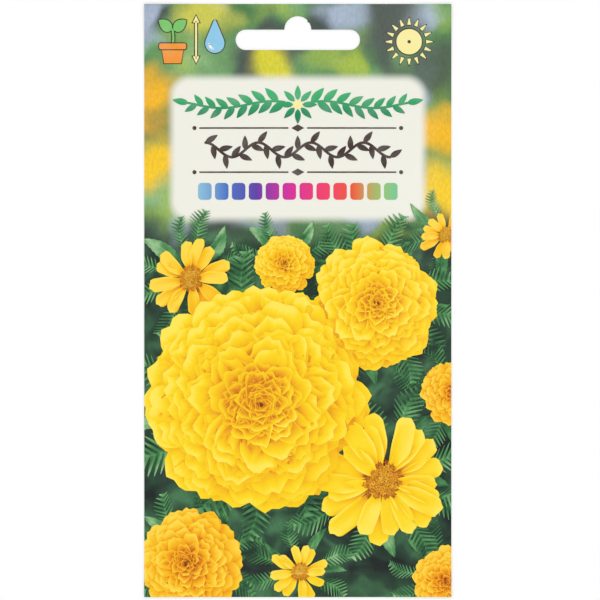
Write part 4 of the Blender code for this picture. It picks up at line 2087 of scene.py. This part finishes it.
@dataclass
class SeedHeap:
    """The loose seeds inside the pouch, laid by the solid heap's own rule and a little flatter."""

    shape: PacketShape
    count: int = 96
    length: float = 8.0 * MM
    width: float = 0.95 * MM
    depth: float = 0.70 * MM
    tuft: float = 4.5 * MM
    tuft_root: float = 0.8 * MM
    tuft_half: float = 0.7 * MM
    centre: complex = -19.0j * MM
    half_axes: Point2 = (23.0 * MM, 38.0 * MM)
    pitch: float = 0.26 * MM
    layers: int = 4
    most_touched: int = 3
    clearance: float = 0.08 * MM
    solid_rise: float = 2.3 * MM
    flatter: float = 0.80
    random_seed: int = 12

    @staticmethod
    def cross(first: tuple, second: tuple) -> bool:
        """Say whether two lines in the plane cross. Their ends are complex numbers.

        Args:
            first: Two ends.
            second: Two ends.

        Returns:
            Whether they cross.
        """
        (p, q), (r, s) = first, second

        def side(start: complex, end: complex, place: complex) -> float:
            """Say how far to the left of a line a place lies."""
            return ((end - start).conjugate() * (place - start)).imag

        return side(p, q, r) * side(p, q, s) < 0 and side(r, s, p) * side(r, s, q) < 0

    def fits(self, line: tuple, top: float) -> bool:
        """Say whether a seed along a line stays clear of the solid front sheet.

        Args:
            line: The seed's two ends.
            top: The height of its upper side.

        Returns:
            Whether it fits.
        """
        places = line[0] + (line[1] - line[0]) * np.linspace(0, 1, 5)
        full = self.shape.pillow(np.abs(places.real) + self.width, places.imag)
        return (self.shape.sheet + self.shape.seal + self.solid_rise * full).min() >= top + self.clearance

    def laid(self) -> list[tuple[tuple, float, int]]:
        """Lay the seeds at random, each across some of those before: their lines, headings and layers.

        Returns:
            Each seed's line, heading and layer.
        """
        draw = random.Random(self.random_seed)
        laid = []
        while len(laid) < self.count:
            turn, out = draw.uniform(0, 2 * math.pi), math.sqrt(draw.random())
            x, y = (half * out * wave(turn) for half, wave in zip(self.half_axes, (math.cos, math.sin)))
            heading = draw.uniform(0, 2 * math.pi)
            middle = self.centre + complex(x, y)
            step = (self.length + self.tuft) / 2 * complex(math.cos(heading), math.sin(heading))
            line = (middle - step, middle + step)
            touched = [layer for other, _, layer in laid if self.cross(line, other)]
            if laid and not 1 <= len(touched) <= self.most_touched:
                continue
            layer = max(touched) + 1 if touched else 0
            top = self.shape.sheet + self.clearance + layer * self.pitch + self.depth
            if layer < self.layers and self.fits(line, top):
                laid.append((line, heading, layer))
        return laid

    def places(self) -> Piece:
        """Mark the foot of each seed by a point that carries its heading.

        Returns:
            An object of single vertices, in no scene.
        """
        laid = self.laid()
        floor = self.shape.back_lift + self.shape.sheet
        mesh = bpy.data.meshes.new("seed places")
        feet = []
        for line, _, layer in laid:
            rise = self.flatter * (self.clearance + layer * self.pitch + self.depth / 2)
            feet.append((line[0].real, line[0].imag, floor + rise))
        mesh.from_pydata(feet, [], [])
        stored(mesh, "heading", [heading for _, heading, _ in laid])
        return bpy.data.objects.new(mesh.name, mesh)

    def shapes(self, kind: str) -> bpy.types.Collection:
        """Make three variants of a seed's ribbed body or of its jagged tuft, along +X from the origin.

        Args:
            kind: "coat" or "tuft".

        Returns:
            The variants.
        """
        held = bpy.data.collections.new(kind)
        for number in range(3):
            draw = random.Random(f"{kind}{number}")
            steps, turns = np.linspace(0, 1, 11), np.linspace(0, 2 * math.pi, 31)
            step, turn = np.broadcast_arrays(steps[:, None], turns[None, :])
            along = 0.5 - 0.5 * np.cos(math.pi * step)
            if kind == "coat":
                ribs = (1 + 0.12 * np.cos(5 * turn)) / 1.12
                girth = (0.45 + 0.55 * along) * np.sin(math.pi * step) ** 0.35 * ribs
                x, half, thick = self.length * along, self.width / 2 * girth, self.depth / 2 * girth
            else:
                scales = 1 - 0.35 * np.abs(np.sin(3 * turn + draw.uniform(0, 3))) * step
                x = self.length - self.tuft_root + (self.tuft + self.tuft_root) * step * scales
                half = 0.24 * self.width + (self.tuft_half - 0.24 * self.width) * step
                thick = 0.28 * half
            bow = draw.uniform(-0.12, 0.12) * MM * np.sin(math.pi * x / (self.length + self.tuft))
            z = self.flatter * thick * np.sin(turn)
            points = np.stack([x, half * np.cos(turn) + bow, z], axis=-1)
            held.objects.link(bpy.data.objects.new(f"{kind}_{number}", grid_mesh(kind, points, {})))
        return held

    def rule(self) -> RuleTree:
        """Write the rule that sets a shape on each place, turned to its heading.

        Returns:
            The finished tree.
        """
        rule = RuleTree("heap rule")
        bench = rule.bench
        places = rule.ask("Places", None, "NodeSocketObject")
        shapes = rule.ask("Shapes", None, "NodeSocketCollection")
        seed = rule.ask("Seed", 5)
        finish = rule.ask("Finish", None, "NodeSocketMaterial")
        points = bench.add("GeometryNodeObjectInfo", {"Object": places}).outputs["Geometry"]
        named = bench.add("GeometryNodeInputNamedAttribute", {"Name": "heading"}, data_type="FLOAT")
        heading = named.outputs[0]
        feeds = {"Collection": shapes, "Separate Children": True, "Reset Children": True}
        copies = bench.add("GeometryNodeCollectionInfo", feeds).outputs["Instances"]
        chosen = bench.math("FLOOR", rule.random(0.0, 2.999, seed))
        feeds = {"Points": points, "Instance": copies, "Pick Instance": True, "Instance Index": chosen}
        feeds |= {"Rotation": bench.join(z=heading)}
        rule.close(bench.add("GeometryNodeInstanceOnPoints", feeds).outputs["Instances"], finish)
        return rule

    def build(self) -> Piece:
        """Set the bodies and the tufts on the same places.

        Returns:
            The finished piece.
        """
        rule, places = self.rule(), self.places()
        parts = [
            rule.run(kind, Places=places, Shapes=self.shapes(kind), Finish=built(finish))
            for kind, finish in (("coat", SEED_COAT), ("tuft", SEED_TUFT))
        ]
        return joined("seed_heap", parts)


@dataclass
class Studio:
    """A pale floor that glows a little, soft light and a long lens square above the packet."""

    frame_height_px: float = 600.0
    packet_height_px: float = 593.0
    packet_centre_px: Point2 = (297.8, 300.5)
    distance: float = 1.2
    sensor: float = 36.0
    horizon: float = 1.05
    zenith: float = 0.12

    def build(self, shape: PacketShape) -> None:
        """Set up floor, lights, world and camera.

        Args:
            shape: The packet's form.
        """
        self.floor()
        self.sky()
        for x, y in ((-1, 1), (1, 1), (-1, -1), (1, -1)):
            self.lamp("softbox", (0.62 * x, 0.62 * y, 0.85), (0.5, 0.5), 2.55)
        self.lamp("sheen", (0.40, 0.22, 1.15), (0.36, 0.5), 0.30)
        view = bpy.context.scene.view_settings
        view.view_transform = "Standard"
        view.look = "None"
        self.camera(shape)

    def camera(self, shape: PacketShape) -> None:
        """Set the camera so that the packet stands in the frame as in the photograph.

        Args:
            shape: The packet's form.
        """
        pixel = 2 * shape.half_height / self.packet_height_px
        camera = bpy.data.cameras.new("camera")
        camera.sensor_width = self.sensor
        camera.lens = self.sensor * self.distance / (pixel * self.frame_height_px)
        placed = bpy.data.objects.new("camera", camera)
        aside, down = (place - self.frame_height_px / 2 for place in self.packet_centre_px)
        placed.location = (-aside * pixel, down * pixel, self.distance)
        bpy.context.scene.collection.objects.link(placed)
        bpy.context.scene.camera = placed

    def floor(self) -> None:
        """Lay a wide white floor just under the packet."""
        bm = bmesh.new()
        bmesh.ops.create_grid(bm, x_segments=1, y_segments=1, size=3.0)
        bmesh.ops.translate(bm, verts=bm.verts, vec=(0, 0, -0.03 * MM))
        mesh = bpy.data.meshes.new("floor")
        bm.to_mesh(mesh)
        bm.free()
        white = bpy.data.materials.new("floor white")
        white.use_nodes = True
        surface = white.node_tree.nodes["Principled BSDF"]
        surface.inputs["Base Color"].default_value = (0.52, 0.52, 0.52, 1)
        surface.inputs["Emission Color"].default_value = (1.0, 1.0, 1.0, 1)
        surface.inputs["Emission Strength"].default_value = 0.46
        surface.inputs["Roughness"].default_value = 0.9
        surface.inputs["Specular IOR Level"].default_value = 0.1
        in_scene("floor", mesh, white)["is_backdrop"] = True

    def sky(self) -> None:
        """Surround the packet with a soft sky, pale near the horizon and dim overhead."""
        world = bpy.data.worlds.new("studio")
        world.use_nodes = True
        bench = NodeBench(world.node_tree)
        height = bench.part(bench.add("ShaderNodeTexCoord").outputs["Generated"], "Z")
        strength = bench.ease(height, 0.45, 0.92, self.horizon, self.zenith)
        bench.feed(world.node_tree.nodes["Background"].inputs["Strength"], strength)
        bench.feed(world.node_tree.nodes["Background"].inputs["Color"], (1.0, 1.0, 1.0))
        bpy.context.scene.world = world

    def lamp(self, name: str, place: tuple, size: Point2, power: float) -> None:
        """Hang a soft rectangular lamp that faces the packet.

        Args:
            name: Its name.
            place: Where it hangs.
            size: Its sides.
            power: Its power in watts.
        """
        lamp = bpy.data.lights.new(name, "AREA")
        lamp.shape = "RECTANGLE"
        lamp.size, lamp.size_y = size
        lamp.energy = power
        hung = bpy.data.objects.new(name, lamp)
        hung.location = place
        hung.rotation_euler = (-hung.location).to_track_quat("-Z", "Y").to_euler()
        bpy.context.scene.collection.objects.link(hung)


def ride(piece: Piece, slot: str, *nodes: str) -> None:
    """Fix a finished piece to the packet and hide the solids that it stands for.

    Args:
        piece: The piece.
        slot: Not used.
        nodes: The solids that it replaces.
    """
    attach(piece, BODY)
    if nodes:
        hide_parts(*nodes)
    LOG.info("%s: %d faces", piece.name, len(piece.data.polygons))


def main() -> None:
    """Build the packet's looks in order, from the frame outwards."""
    logging.basicConfig(level=logging.INFO, format="%(name)s: %(message)s")
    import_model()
    low, high = cad_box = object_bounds()
    shape = PacketShape(half_width=(high.x - low.x) / 2, half_height=(high.y - low.y) / 2)
    Studio().build(shape)

    sheets = PaperSheets(shape, HangingSlot(top=shape.half_height - 6.7 * MM))
    ride(sheets.front(GardenInk()), "printed_paper", "front_sheet")
    ride(sheets.back(BackInk()), "plain_paper", "back_sheet")
    ride(SeedHeap(shape).build(), "seed_coat", "seeds")
    for piece in Posy(shape).build():
        ride(piece, "printed_paper")
    ornaments = Ornaments()
    front, back = Press(shape), Press(shape, Side.BACK)
    ride(NamePanel(FlatArt("name_panel_print", front), ornaments).build(), "printed_paper")
    ride(CornerSymbols(FlatArt("corner_symbols", front), ornaments).build(), "printed_paper")
    ride(BackArt(FlatArt("back_symbols", back, 0.012 * MM, 0.005), ornaments).build(), "plain_paper")


if __name__ == "__main__":
    main()
